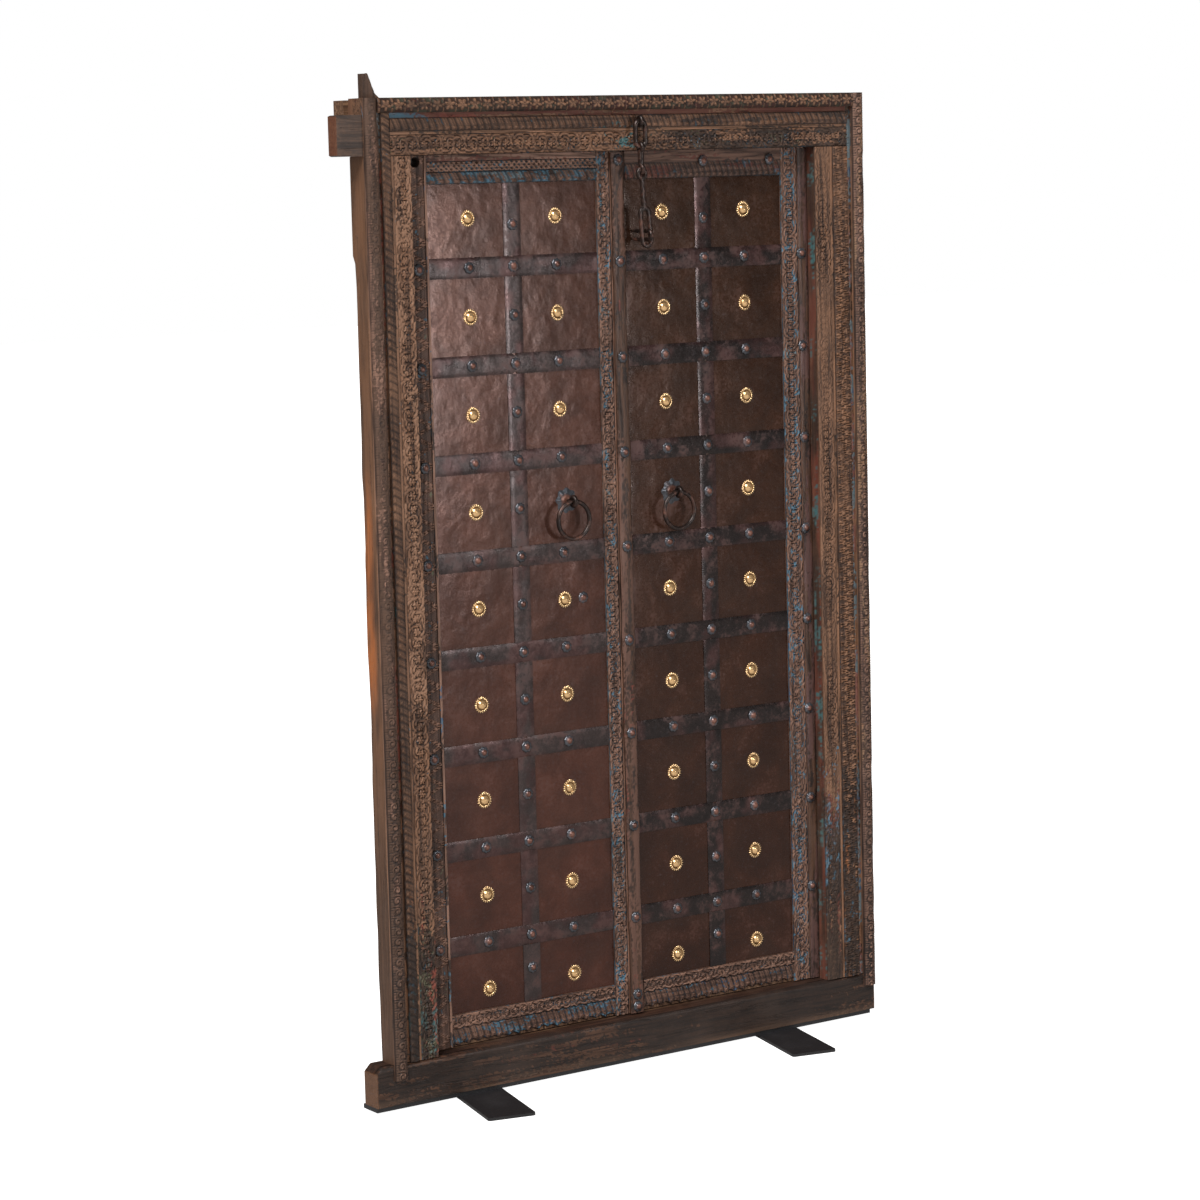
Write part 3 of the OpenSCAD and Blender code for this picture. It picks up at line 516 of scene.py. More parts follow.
def add_piece(name, shell, body, material, nodes, sharp=math.radians(48)):
    """Makes the shell a mesh object that rides on its body and stands for its nodes."""
    (points, faces), relief, tint = shell
    mesh = bpy.data.meshes.new(name)
    mesh.from_pydata((points * MM).tolist(), [], faces)
    mesh.attributes.new("relief", "FLOAT", "POINT").data.foreach_set("value", relief.astype(float))
    mesh.attributes.new("tint", "FLOAT_COLOR", "POINT").data.foreach_set("color", tint.ravel())
    mesh.shade_smooth()
    mesh.set_sharp_from_angle(angle=sharp)
    mesh.materials.append(material)
    return settle(linked(name, mesh), body, nodes)


def linked(name, data):
    """A new object with that data, in the scene."""
    made = bpy.data.objects.new(name, data)
    bpy.context.scene.collection.objects.link(made)
    return made


def settle(piece, body, nodes):
    """Gives a finished piece its body and the nodes it stands for."""
    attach(piece, body)
    if nodes:
        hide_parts(*nodes)
    return piece


def bar(centre, radius, start, end, place, segments=20):
    """A plain round bar along a timber's length."""
    angles = np.linspace(0, 2 * np.pi, segments, endpoint=False)
    ring = np.stack([centre[0] + radius * np.cos(angles), centre[1] + radius * np.sin(angles)], -1)
    rows = np.array([place(ring[:, 0], ring[:, 1], np.full(segments, v)) for v in (start, end)])
    index = np.arange(2 * segments).reshape(2, segments)
    turned = np.roll(index, -1, axis=1)
    quads = np.stack([index[0], turned[0], turned[1], index[1]], -1)
    faces = quads.tolist() + [index[0, ::-1].tolist(), index[1].tolist()]
    shell = outwards(rows.reshape(-1, 3), faces)
    return shell, np.full(2 * segments, 0.7), np.zeros((2 * segments, 4))


# ---------- shader groups ----------


def group(name, inputs, outputs):
    """A new shader group: its wires, its inputs, and a function that fills its outputs.

    An input is given as the name of its kind, or as the number that it starts from.
    """
    tree = bpy.data.node_groups.new(name, "ShaderNodeTree")
    for label, value in inputs.items():
        kind = value if isinstance(value, str) else "Float"
        socket = tree.interface.new_socket(name=label, in_out="INPUT",
                                           socket_type="NodeSocket" + kind)
        if kind == "Float":
            socket.default_value = value
    for label, kind in outputs.items():
        tree.interface.new_socket(name=label, in_out="OUTPUT", socket_type="NodeSocket" + kind)
    source, sink = tree.nodes.new("NodeGroupInput"), tree.nodes.new("NodeGroupOutput")
    source.location, sink.location = (-900, 0), (600, 0)

    def finish(*values):
        for value, socket in zip(values, sink.inputs):
            tree.links.new(value, socket)
        return tree

    return Wires(tree), source.outputs, finish


class Wires:
    """Adds and joins nodes of one tree."""

    def __init__(self, tree):
        self.tree = tree
        self.column = 0

    def node(self, kind, **settings):
        made = self.tree.nodes.new(kind)
        self.column += 1
        made.location = (-1400 + 170 * (self.column // 4), -220 * (self.column % 4))
        for key, value in settings.items():
            setattr(made, key, value)
        return made

    def put(self, value, socket):
        if isinstance(value, bpy.types.NodeSocket):
            self.tree.links.new(value, socket)
        elif value is not None:
            socket.default_value = value

    def math(self, operation, a, b=None, c=None, clamp=False):
        made = self.node("ShaderNodeMath", operation=operation, use_clamp=clamp)
        for value, socket in zip((a, b, c), made.inputs):
            self.put(value, socket)
        return made.outputs[0]

    def step(self, value, low, high):
        """Soft step from low to high."""
        made = self.node("ShaderNodeMapRange", interpolation_type="SMOOTHSTEP")
        self.put(value, made.inputs["Value"])
        self.put(low, made.inputs["From Min"])
        self.put(high, made.inputs["From Max"])
        return made.outputs["Result"]

    def mix(self, factor, a, b, blend="MIX"):
        made = self.node("ShaderNodeMix", data_type="RGBA", blend_type=blend)
        self.put(factor, made.inputs[0])
        self.put(a if isinstance(a, bpy.types.NodeSocket) else (*a, 1), made.inputs[6])
        self.put(b if isinstance(b, bpy.types.NodeSocket) else (*b, 1), made.inputs[7])
        return made.outputs[2]

    def noise(self, vector, scale, detail=4.0, roughness=0.55, distortion=0.0):
        made = self.node("ShaderNodeTexNoise")
        self.put(vector, made.inputs["Vector"])
        self.put(scale, made.inputs["Scale"])
        made.inputs["Detail"].default_value = detail
        made.inputs["Roughness"].default_value = roughness
        made.inputs["Distortion"].default_value = distortion
        return made.outputs["Fac"]

    def mapped(self, vector, scale, turn=(0, 0, 0)):
        made = self.node("ShaderNodeMapping")
        self.put(vector, made.inputs["Vector"])
        made.inputs["Scale"].default_value = scale
        made.inputs["Rotation"].default_value = turn
        return made.outputs["Vector"]

    def use(self, tree, **values):
        made = self.node("ShaderNodeGroup", node_tree=tree)
        for key, value in values.items():
            self.put(value, made.inputs[key.replace("_", " ")])
        return made.outputs


def grain_group():
    """Wood grain along the coordinate's Z: streaks, fine pores and cracks."""
    w, given, finish = group("Wood grain", {"Vector": "Vector", "Streak": 160.0, "Cracks": 0.5},
                             {"Streaks": "Float", "Pores": "Float", "Cracks": "Float"})
    sway = w.node("ShaderNodeTexNoise")
    sway.inputs["Scale"].default_value = 3.0
    w.put(given["Vector"], sway.inputs["Vector"])
    small = w.node("ShaderNodeVectorMath", operation="SCALE")
    small.inputs["Scale"].default_value = 0.03
    w.put(sway.outputs["Color"], small.inputs[0])
    bent = w.node("ShaderNodeVectorMath", operation="ADD")
    w.put(given["Vector"], bent.inputs[0])
    w.put(small.outputs[0], bent.inputs[1])

    def stretched(share):
        return w.mapped(bent.outputs[0], (1, 1, share))

    streaks = w.noise(stretched(0.045), given["Streak"], 5, 0.6, 0.3)
    pores = w.noise(stretched(0.03), 900.0, 2, 0.6)
    split = w.noise(stretched(0.02), 95.0, 3, 0.5, 0.4)
    crack = w.math("ABSOLUTE", w.math("SUBTRACT", split, 0.5))
    return finish(streaks, pores, w.step(crack, w.math("MULTIPLY", given["Cracks"], 0.02), 0.0))


def paint_group():
    """Breaks a layer of old paint up into flakes, and lays it on the wood."""
    w, given, finish = group(
        "Old paint", {"Vector": "Vector", "Wood": "Color", "Paint": "Color", "Cover": 0.0},
        {"Color": "Color", "Mask": "Float"})
    flakes = w.noise(given["Vector"], 520.0, 4, 0.65)
    patches = w.noise(given["Vector"], 120.0, 3, 0.6)
    both = w.math("ADD", w.math("MULTIPLY", flakes, 0.6), w.math("MULTIPLY", patches, 0.4))
    gate = w.math("SUBTRACT", 0.80, w.math("MULTIPLY", given["Cover"], 0.62))
    mask = w.step(both, w.math("SUBTRACT", gate, 0.07), w.math("ADD", gate, 0.07))
    mask = w.math("MULTIPLY", mask, w.step(given["Cover"], 0.0, 0.12))
    varied = w.mix(patches, given["Paint"], w.mix(0.45, given["Paint"], given["Wood"]))
    return finish(w.mix(mask, given["Wood"], varied), mask)


def dust_and_hollow_shade_group():
    """A pale film of dust in patches, and painted shade that darkens the deep hollows of the
    carving.
    """
    w, given, finish = group(
        "Dust", {"Vector": "Vector", "Base": "Color", "Relief": 1.0, "Amount": 0.3},
        {"Color": "Color", "Film": "Float"})
    cloud = w.noise(given["Vector"], 9.0, 5, 0.6)
    film = w.math("MULTIPLY", w.step(cloud, 0.42, 0.72), given["Amount"])
    # Painted shade: where the relief is low the colour is mixed towards near black, standing in for
    # the shade in the hollows.
    hollow = w.math("MULTIPLY", w.step(given["Relief"], 0.66, 0.14), 0.78)
    dusty = w.mix(film, given["Base"], (0.13, 0.085, 0.065))
    return finish(w.mix(hollow, dusty, (0.010, 0.006, 0.005)), film)


def patina_group():
    """Iron patina: cloudy tone, rust spots and hammered bumps."""
    w, given, finish = group(
        "Iron patina",
        {"Vector": "Vector", "Iron": "Color", "Rust": "Color", "Rusted": 0.4, "Cloud": 14.0},
        {"Color": "Color", "Rough": "Float", "Height": "Float"})
    clouds = w.noise(given["Vector"], given["Cloud"], 6, 0.62, 0.4)
    spots = w.noise(given["Vector"], 140.0, 5, 0.7, 0.2)
    mixed = w.math("ADD", w.math("MULTIPLY", clouds, 0.62), w.math("MULTIPLY", spots, 0.38))
    gate = w.math("SUBTRACT", 0.74, w.math("MULTIPLY", given["Rusted"], 0.46))
    rusty = w.step(mixed, w.math("SUBTRACT", gate, 0.10), w.math("ADD", gate, 0.10))
    tone = w.mix(w.step(clouds, 0.30, 0.72), w.mix(0.45, given["Iron"], (0, 0, 0)), given["Iron"])
    blued = w.math("MULTIPLY", w.step(spots, 0.54, 0.78), 0.28)
    base = w.mix(rusty, w.mix(blued, tone, (0.085, 0.085, 0.10)), given["Rust"])
    fine = w.noise(given["Vector"], 650.0, 3, 0.6)
    height = w.math("ADD", w.math("MULTIPLY", spots, 0.7), w.math("MULTIPLY", fine, 0.3))
    return finish(base, rusty, height)


def shared(name, build):
    """The node group of that name, built the first time it is asked for."""
    return bpy.data.node_groups.get(name) or build()


# ---------- materials ----------


def new_material(name, roughness=0.6, metallic=0.0, **constants):
    """A material with its surface shader, its wires and the object's own coordinates."""
    material = bpy.data.materials.new(name)
    material.use_nodes = True
    surface = material.node_tree.nodes["Principled BSDF"]
    surface.inputs["Roughness"].default_value = roughness
    surface.inputs["Metallic"].default_value = metallic
    for key, value in constants.items():
        surface.inputs[key.replace("_", " ")].default_value = value
    w = Wires(material.node_tree)
    coordinates = w.node("ShaderNodeTexCoord").outputs["Object"]
    return material, surface, w, coordinates


def bumped(w, surface, height, strength, distance, below=None):
    """Adds a bump to a surface, over another bump when one is given."""
    bump = w.node("ShaderNodeBump")
    bump.inputs["Strength"].default_value = strength
    bump.inputs["Distance"].default_value = distance
    w.put(height, bump.inputs["Height"])
    if below:
        w.put(below.outputs["Normal"], bump.inputs["Normal"])
    w.tree.links.new(bump.outputs["Normal"], surface.inputs["Normal"])
    return bump


def timber_material(name, dark, mid, light, along="Z", carved=True, cracks=0.4, dust=0.16,
                    sheen=0.42, ridge=0.8):
    """Old wood with its grain along one axis, what is left of its paint, ridges made lighter by
    wear and by a painted highlight, and painted shade in the hollows.
    """
    if name in bpy.data.materials:
        return bpy.data.materials[name]
    material, surface, w, coordinates = new_material(name, Specular_IOR_Level=0.3)
    turn = {"Z": (0, 0, 0), "X": (0, math.radians(90), 0), "Y": (math.radians(90), 0, 0)}[along]
    vector = w.mapped(coordinates, (1, 1, 1), turn)
    grain = w.use(shared("Wood grain", grain_group), Vector=vector, Streak=150.0, Cracks=cracks)
    wood = w.mix(w.step(grain["Streaks"], 0.30, 0.66), dark, mid)
    blotch = w.noise(vector, 7.0, 4, 0.6)
    wood = w.mix(w.math("MULTIPLY", w.step(blotch, 0.52, 0.74), 0.55), wood, light)
    if carved:
        relief = w.node("ShaderNodeAttribute", attribute_name="relief").outputs["Fac"]
        tint = w.node("ShaderNodeAttribute", attribute_name="tint")
        # Raised carving is mixed towards the light colour along the grain: partly wear that bares
        # the wood, partly a painted highlight on the ridges.
        rub = w.math("MULTIPLY", w.step(relief, 0.55, 0.98), w.step(grain["Streaks"], 0.32, 0.62))
        wood = w.mix(w.math("MULTIPLY", rub, ridge), wood, light)
        paint = w.use(shared("Old paint", paint_group), Vector=coordinates, Wood=wood,
                      Paint=tint.outputs["Color"], Cover=tint.outputs["Alpha"])
        wood = paint["Color"]
    else:
        relief = 0.9
        wood = w.mix(w.math("MULTIPLY", w.step(grain["Streaks"], 0.5, 0.72), 0.7), wood, light)
    wood = w.mix(w.math("MULTIPLY", grain["Cracks"], 0.8), wood, (0.008, 0.005, 0.004))
    # This group also paints shade into the low hollows of carved timber; at the relief of 0.9 given
    # to plain timber it paints none.
    dirt_and_shade = w.use(shared("Dust", dust_and_hollow_shade_group), Vector=coordinates, Base=wood, Relief=relief,
                 Amount=dust)
    w.put(dirt_and_shade["Color"], surface.inputs["Base Color"])
    worn = w.math("MULTIPLY_ADD", grain["Streaks"], -0.35, sheen + 0.30)
    w.put(w.math("ADD", worn, w.math("MULTIPLY", dirt_and_shade["Film"], 0.4), clamp=True),
          surface.inputs["Roughness"])
    height = w.math("SUBTRACT", w.math("MULTIPLY", grain["Pores"], 0.5),
                    w.math("MULTIPLY", grain["Cracks"], 0.9))
    rings = bumped(w, surface, w.math("ADD", height, w.math("MULTIPLY", grain["Streaks"], 0.6)),
                   0.55, 0.0008)
    chisel = w.noise(coordinates, 260.0, 3, 0.6)
    bumped(w, surface, chisel, 0.35, 0.0010, rings)
    return material


def iron_material(name, iron, rust, rusted=0.4, roughness=0.40, metallic=0.5, tinted=False,
                  radial=False, cloud=14.0, dents=0.0006, rim_bluing_and_highlight=None):
    """Old iron: cloudy patina with rust, and a satin surface."""
    if name in bpy.data.materials:
        return bpy.data.materials[name]
    material, surface, w, coordinates = new_material(name, roughness, metallic)
    tone = iron
    if tinted:
        tone = w.node("ShaderNodeAttribute", attribute_name="tint").outputs["Color"]
    # Studs and plates: rust in the middle, and towards the rim a pale blue-grey that is partly the
    # iron's own blue tarnish and partly a painted highlight on the petals.
    if radial:
        rim = w.node("ShaderNodeAttribute", attribute_name="radial").outputs["Fac"]
        tone = w.mix(w.step(rim, 0.30, 0.62), rust, w.mix(0.5, iron, rim_bluing_and_highlight or iron))
        rusted = w.math("MULTIPLY_ADD", rim, -0.45, rusted + 0.25)
    shade = tone if isinstance(tone, bpy.types.NodeSocket) else (*tone, 1)
    patina = w.use(shared("Iron patina", patina_group), Vector=coordinates, Iron=shade,
                   Rust=(*rust, 1), Rusted=rusted, Cloud=cloud)
    # At a relief of 0.9 this group paints no shade on the iron, only the film of dust.
    dirt_and_shade = w.use(shared("Dust", dust_and_hollow_shade_group), Vector=coordinates, Base=patina["Color"], Relief=0.9,
                 Amount=0.06)
    w.put(dirt_and_shade["Color"], surface.inputs["Base Color"])
    uneven = w.math("MULTIPLY_ADD", patina["Height"], 0.24, roughness - 0.12)
    w.put(w.math("MULTIPLY_ADD", patina["Rough"], 0.26, uneven, clamp=True),
          surface.inputs["Roughness"])
    w.put(w.math("MULTIPLY_ADD", patina["Rough"], -0.7 * metallic, metallic, clamp=True),
          surface.inputs["Metallic"])
    pitted = bumped(w, surface, patina["Height"], 0.4, 0.0006)
    broad = w.noise(coordinates, 26.0, 3, 0.5)
    bumped(w, surface, broad, 0.5, dents * 4, pitted)
    return material


def brass_material(colours):
    """Bright brass, dulled in the hollows of each floret."""
    material, surface, w, coordinates = new_material("Brass", 0.24, 0.8)
    radial = w.node("ShaderNodeAttribute", attribute_name="radial").outputs["Fac"]
    groove = w.node("ShaderNodeAttribute", attribute_name="relief").outputs["Fac"]
    clouds = w.noise(coordinates, 220.0, 4, 0.6)
    moat = w.math("MULTIPLY", w.step(radial, 0.46, 0.56), w.step(radial, 0.78, 0.70))
    dull = w.math("MULTIPLY", w.step(groove, 0.70, 0.15), 0.95)
    dull = w.math("MAXIMUM", dull, w.math("MULTIPLY", moat, 0.85))
    dull = w.math("MAXIMUM", dull, w.math("MULTIPLY", w.step(clouds, 0.60, 0.78), 0.35))
    gold = w.mix(w.step(radial, 0.2, 1.0), tuple(colours.brass), (0.92, 0.62, 0.33))
    w.put(w.mix(dull, gold, tuple(colours.tarnish)), surface.inputs["Base Color"])
    w.put(w.math("MULTIPLY_ADD", clouds, 0.22, 0.14), surface.inputs["Roughness"])
    bumped(w, surface, clouds, 0.15, 0.0004)
    return material


def black_material(colours):
    """Matt black paint on steel, dusty in patches and rubbed grey in places."""
    material, surface, w, coordinates = new_material("Black iron", 0.55)
    speck = w.noise(coordinates, 240.0, 4, 0.6)
    cloud = w.noise(coordinates, 12.0, 4, 0.6)
    tone = w.mix(w.math("MULTIPLY", w.step(cloud, 0.45, 0.75), 0.5), tuple(colours.black),
                 (0.030, 0.028, 0.030))
    rubbed = w.math("MULTIPLY", w.step(speck, 0.64, 0.72), 0.5)
    w.put(w.mix(rubbed, tone, (0.07, 0.065, 0.065)), surface.inputs["Base Color"])
    w.put(w.math("MULTIPLY_ADD", speck, 0.3, 0.35), surface.inputs["Roughness"])
    bumped(w, surface, speck, 0.25, 0.0004)
    return material


# How each kind of timber differs from the carved one
TIMBERS = {
    "carved": {}, "frame": {}, "worn": dict(cracks=0.8, dust=0.12, sheen=0.30, ridge=0.45),
    "plain": dict(carved=False, cracks=0.9, dust=0.35, sheen=0.5)}


def timber(kind, along, colours):
    """The material of one kind of timber, with its grain along one axis."""
    tones = (tuple(getattr(colours, f"{kind}_{tone}")) for tone in ("dark", "mid", "light"))
    return timber_material(f"{kind.capitalize()} timber {along}", *tones, along, **TIMBERS[kind])


def sheet_iron(colours):
    return iron_material("Iron sheet", tuple(colours.sheet_left), (0.070, 0.024, 0.015), 0.24,
                         0.28, 0.42,
                         tinted=True, cloud=11.0, dents=0.0008)


def strap_iron(colours):
    return iron_material("Iron strap", tuple(colours.strap), (0.070, 0.030, 0.024), 0.34, 0.27,
                         0.55,
                         tinted=True, cloud=24.0, dents=0.0006)


def stud_iron(colours):
    # The pale blue-grey rim tone is partly the iron's own blue tarnish and partly a painted
    # highlight on the petals.
    return iron_material("Stud iron", tuple(colours.strap), (0.17, 0.072, 0.050), 0.40, 0.28, 0.6,
                         radial=True, cloud=30.0, dents=0.0002, rim_bluing_and_highlight=(0.17, 0.19, 0.22))


def forged_iron(colours):
    return iron_material("Forged iron", tuple(colours.forged), tuple(colours.rust), 0.34, 0.32,
                         0.55,
                         cloud=40.0, dents=0.0004)


# ---------- pieces shared by the operators ----------


def dress(material_for):
    """Gives CAD nodes that stay visible a better material."""
    for nodes, material in material_for:
        for node in nodes:
            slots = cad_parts[node].data.materials
            for index in range(len(slots)):
                slots[index] = material


def lathe(profile, segments, ripple, petals):
    """A round piece that faces the front, with its rim rippled, as a mesh in metres.

    profile holds (radius, height, ripple share) from the rim to the middle, in millimetres.
    """
    angles = np.linspace(0, 2 * np.pi, segments, endpoint=False)
    wave = np.cos(petals * angles)
    points, radial, groove, faces = [], [], [], []
    reach = max(r for r, h, k in profile)
    for r, h, k in profile:
        radius = r * (1 - ripple * k * (0.5 - 0.5 * wave))
        rise = h * (1 - 0.32 * k * (0.5 - 0.5 * wave))
        points.append(np.stack([radius * np.cos(angles), -rise, radius * np.sin(angles)], -1))
        radial.append(np.full(segments, r / reach))
        groove.append(1 - k * (0.5 - 0.5 * wave))
    points = np.concatenate(points + [[[0, -profile[-1][1] - 0.5, 0]]])
    top = len(points) - 1
    radial, groove = np.append(np.concatenate(radial), 0), np.append(np.concatenate(groove), 1)
    for ring in range(len(profile) - 1):
        for i in range(segments):
            a, b = ring * segments + i, ring * segments + (i + 1) % segments
            faces.append([a, b, b + segments, a + segments])
    last = (len(profile) - 1) * segments
    faces += [[last + i, last + (i + 1) % segments, top] for i in range(segments)]
    faces.append(list(range(segments))[::-1])
    mesh = bpy.data.meshes.new("Lathe")
    mesh.from_pydata((points * MM).tolist(), [], faces)
    mesh.attributes.new("radial", "FLOAT", "POINT").data.foreach_set("value", radial)
    mesh.attributes.new("relief", "FLOAT", "POINT").data.foreach_set("value", groove)
    shape = bmesh.new()
    shape.from_mesh(mesh)
    bmesh.ops.recalc_face_normals(shape, faces=shape.faces)
    shape.to_mesh(mesh)
    shape.free()
    mesh.shade_smooth()
    mesh.set_sharp_from_angle(angle=math.radians(60))
    return mesh


def scatter_tree():
    """Geometry Nodes that put one shape on every point, each turned and tilted at random."""
    name = "Scatter fittings"
    if name in bpy.data.node_groups:
        return bpy.data.node_groups[name]
    tree = bpy.data.node_groups.new(name, "GeometryNodeTree")
    for label, kind in (("Places", "Geometry"), ("Fitting", "Object"), ("Tilt", "Float"),
                        ("Seed", "Int"), ("Material", "Material")):
        tree.interface.new_socket(name=label, in_out="INPUT", socket_type="NodeSocket" + kind)
    tree.interface.new_socket(name="Fittings", in_out="OUTPUT", socket_type="NodeSocketGeometry")
    nodes = [tree.nodes.new(kind) for kind in (
        "NodeGroupInput", "GeometryNodeObjectInfo", "FunctionNodeRandomValue",
        "ShaderNodeVectorMath", "ShaderNodeVectorMath", "ShaderNodeMath", "FunctionNodeRandomValue",
        "ShaderNodeVectorMath", "GeometryNodeInstanceOnPoints", "GeometryNodeRealizeInstances",
        "GeometryNodeSetMaterial", "NodeGroupOutput")]
    for index, made in enumerate(nodes):
        made.location = (220 * index - 1300, -60 * (index % 3))
    source, fitting, spin, less, more, again, lean, turned, place, real, dressed, sink = nodes
    spin.data_type = lean.data_type = "FLOAT_VECTOR"
    spin.inputs["Min"].default_value = (0, 0, 0)
    spin.inputs["Max"].default_value = (0, math.tau, 0)
    for scaled, ends in ((less, -1), (more, 1)):
        scaled.operation = "SCALE"
        scaled.inputs[0].default_value = (ends, 0, ends)
    again.inputs[1].default_value = 31
    link = tree.links.new
    link(source.outputs["Fitting"], fitting.inputs["Object"])
    link(source.outputs["Seed"], spin.inputs["Seed"])
    link(source.outputs["Seed"], again.inputs[0])
    link(again.outputs[0], lean.inputs["Seed"])
    link(source.outputs["Tilt"], less.inputs["Scale"])
    link(source.outputs["Tilt"], more.inputs["Scale"])
    link(less.outputs[0], lean.inputs["Min"])
    link(more.outputs[0], lean.inputs["Max"])
    link(spin.outputs[0], turned.inputs[0])
    link(lean.outputs[0], turned.inputs[1])
    link(source.outputs["Places"], place.inputs["Points"])
    link(fitting.outputs["Geometry"], place.inputs["Instance"])
    link(turned.outputs[0], place.inputs["Rotation"])
    link(place.outputs["Instances"], real.inputs["Geometry"])
    link(real.outputs["Geometry"], dressed.inputs["Geometry"])
    link(source.outputs["Material"], dressed.inputs["Material"])
    link(dressed.outputs["Geometry"], sink.inputs["Fittings"])
    return tree


def scatter(name, places, shape, material, body, nodes, seed, tilt):
    """Puts the shape on every place, and keeps the result as one plain mesh."""
    spots = bpy.data.meshes.new(name + " places")
    spots.from_pydata([tuple(p) for p in places], [], [])
    carrier, fitting = linked(name + " places", spots), linked(name + " fitting", shape)
    modifier = carrier.modifiers.new("Scatter", "NODES")
    modifier.node_group = scatter_tree()
    sockets = {item.name: item.identifier for item in modifier.node_group.interface.items_tree
               if item.in_out == "INPUT"}
    for label, value in (("Fitting", fitting), ("Tilt", tilt), ("Seed", seed),
                         ("Material", material)):
        modifier[sockets[label]] = value
    graph = bpy.context.evaluated_depsgraph_get()
    mesh = bpy.data.meshes.new_from_object(carrier.evaluated_get(graph), depsgraph=graph)
    mesh.name = name
    for made in (carrier, fitting):
        bpy.data.objects.remove(made)
    return settle(linked(name, mesh), body, nodes)


def stud_places(node, front):
    """Middle of each stud's foot, where the stud stands on its surface, in metres."""
    places = []
    for low, high in solids_mm(node):
        middle = (low + high) / 2
        places.append((middle[0] * MM, (low[1] + front) * MM, middle[2] * MM))
    return places


# ---------- frame ----------


def jamb_bands(side, sizes):
    """The stepped front of a jamb, from its left edge to its right one."""
    low, high = box_mm(f"{side}_jamb")
    front = low[1] + sizes.band_rise / MM
    groove, step = sizes.groove_width / MM, sizes.step_width / MM
    inner, rise = sizes.inner_band / MM, sizes.band_rise / MM
    depth = sizes.band_depth / MM
    moulding = np.ptp([corner[0] for corner in box_mm(f"{side}_moulding")])
    blue = sizes.paint
    if side == LEFT:
        x = [low[0], low[0] + moulding, low[0] + moulding + groove, high[0] - inner - step,
             high[0] - inner, high[0]]
        dark_low = between(0, 380, 90, 0.92)
        band_two = paints((SOOT, between(0, 380, 70, 0.95), 3, 0.3), (SKY_BLUE, 0.12 * blue, 5),
                          (ORANGE_WOOD, between(300, 520, 60, 0.26), 8, 0.1, 90),
                          (TURQUOISE, between(0, 300, 80, 0.20), 9))
        band_three = paints((SOOT, dark_low, 4), (SOOT, between(0, 330, 60, 0.6), 7, 0, 90),
                            (TURQUOISE, between(0, 300, 60, 0.30), 12, 0.2, 60),
                            (OLD_RED, between(120, 480, 90, 0.28), 14, 0.0, 120),
                            (SAGE, between(0, 380, 60, 0.35), 15), (SKY_BLUE, 0.10, 17),
                            ((0.26, 0.14, 0.085), between(700, 2000, 200, 0.50), 19, 0, 60))
        return [
            band(x[0], x[1], front, cell=7),
            band(x[1], x[2], front + sizes.groove_depth / MM, paint=paints(
                (SOOT, 0.75, 21), (OLD_RED, 0.30, 22, 0, 140), (SKY_BLUE, 0.12, 23, 0, 50))),
            band(x[2], x[3], front - rise, pitched(slanted_leaves, sizes.rope_pitch), depth,
                 band_two),
            band(x[3], x[4], front + rise, paint=paints((SOOT, 0.35, 24, 0, 90),
                                                        (PALE_BLUE, 0.14, 25, 0, 60)), cell=3),
            band(x[4], x[5], front, pitched(vine_scroll, sizes.scroll_pitch), depth, band_three)]
    x = [low[0], low[0] + inner, low[0] + inner + step, high[0] - moulding - groove,
         high[0] - moulding, high[0]]

    def plainer(motif):
        def worn(u, v, width):
            rub = ramp(noise(u / 25, v / 140, 61), 0.35, 0.75) * 0.55
            return motif(u, v, width) * (1 - rub) + 0.85 * rub
        return worn

    red_low = between(0, 560, 120, 0.62)
    return [
        band(x[0], x[1], front, plainer(pitched(vine_scroll, sizes.scroll_pitch)), depth, paints(
            (RED_BROWN, red_low, 31, 0.2, 160), (SOOT, between(0, 520, 90, 0.72), 30, 0, 120),
            (SKY_BLUE, between(250, 620, 70, 0.34), 32, 0.3, 40),
            (SKY_BLUE, between(300, 560, 60, 0.27), 28, 0, 50),
            (SOOT, between(0, 160, 50, 0.7), 33), (PALE_WOOD, 0.14, 34, 0, 220))),
        band(x[1], x[2], front + rise,
             paint=paints((SOOT, 0.3, 29, 0, 90), (SKY_BLUE, 0.13, 35, 0, 60)),
             cell=3),
        band(x[2], x[3], front - rise, pitched(zigzag, 0.5 * sizes.zigzag_pitch), depth, paints(
            (SOOT, between(0, 560, 100, 0.85), 36, 0.3),
            (ORANGE_WOOD, between(0, 520, 120, 0.22), 37, 0, 90),
            (SKY_BLUE, between(120, 520, 80, 0.26), 38))),
        band(x[3], x[4], front + sizes.groove_depth / MM, paint=paints(
            (PINK, 0.46, 41, 0, 70), (PALE_BLUE, 0.42, 42, 0, 60), (SOOT, 0.35, 40, 0, 120),
            (SOOT, between(0, 600, 150, 0.5), 44, 0, 120), (DEEP_BLUE, 0.22, 43, 0, 40))),
        band(x[4], x[5], front, cell=7)]


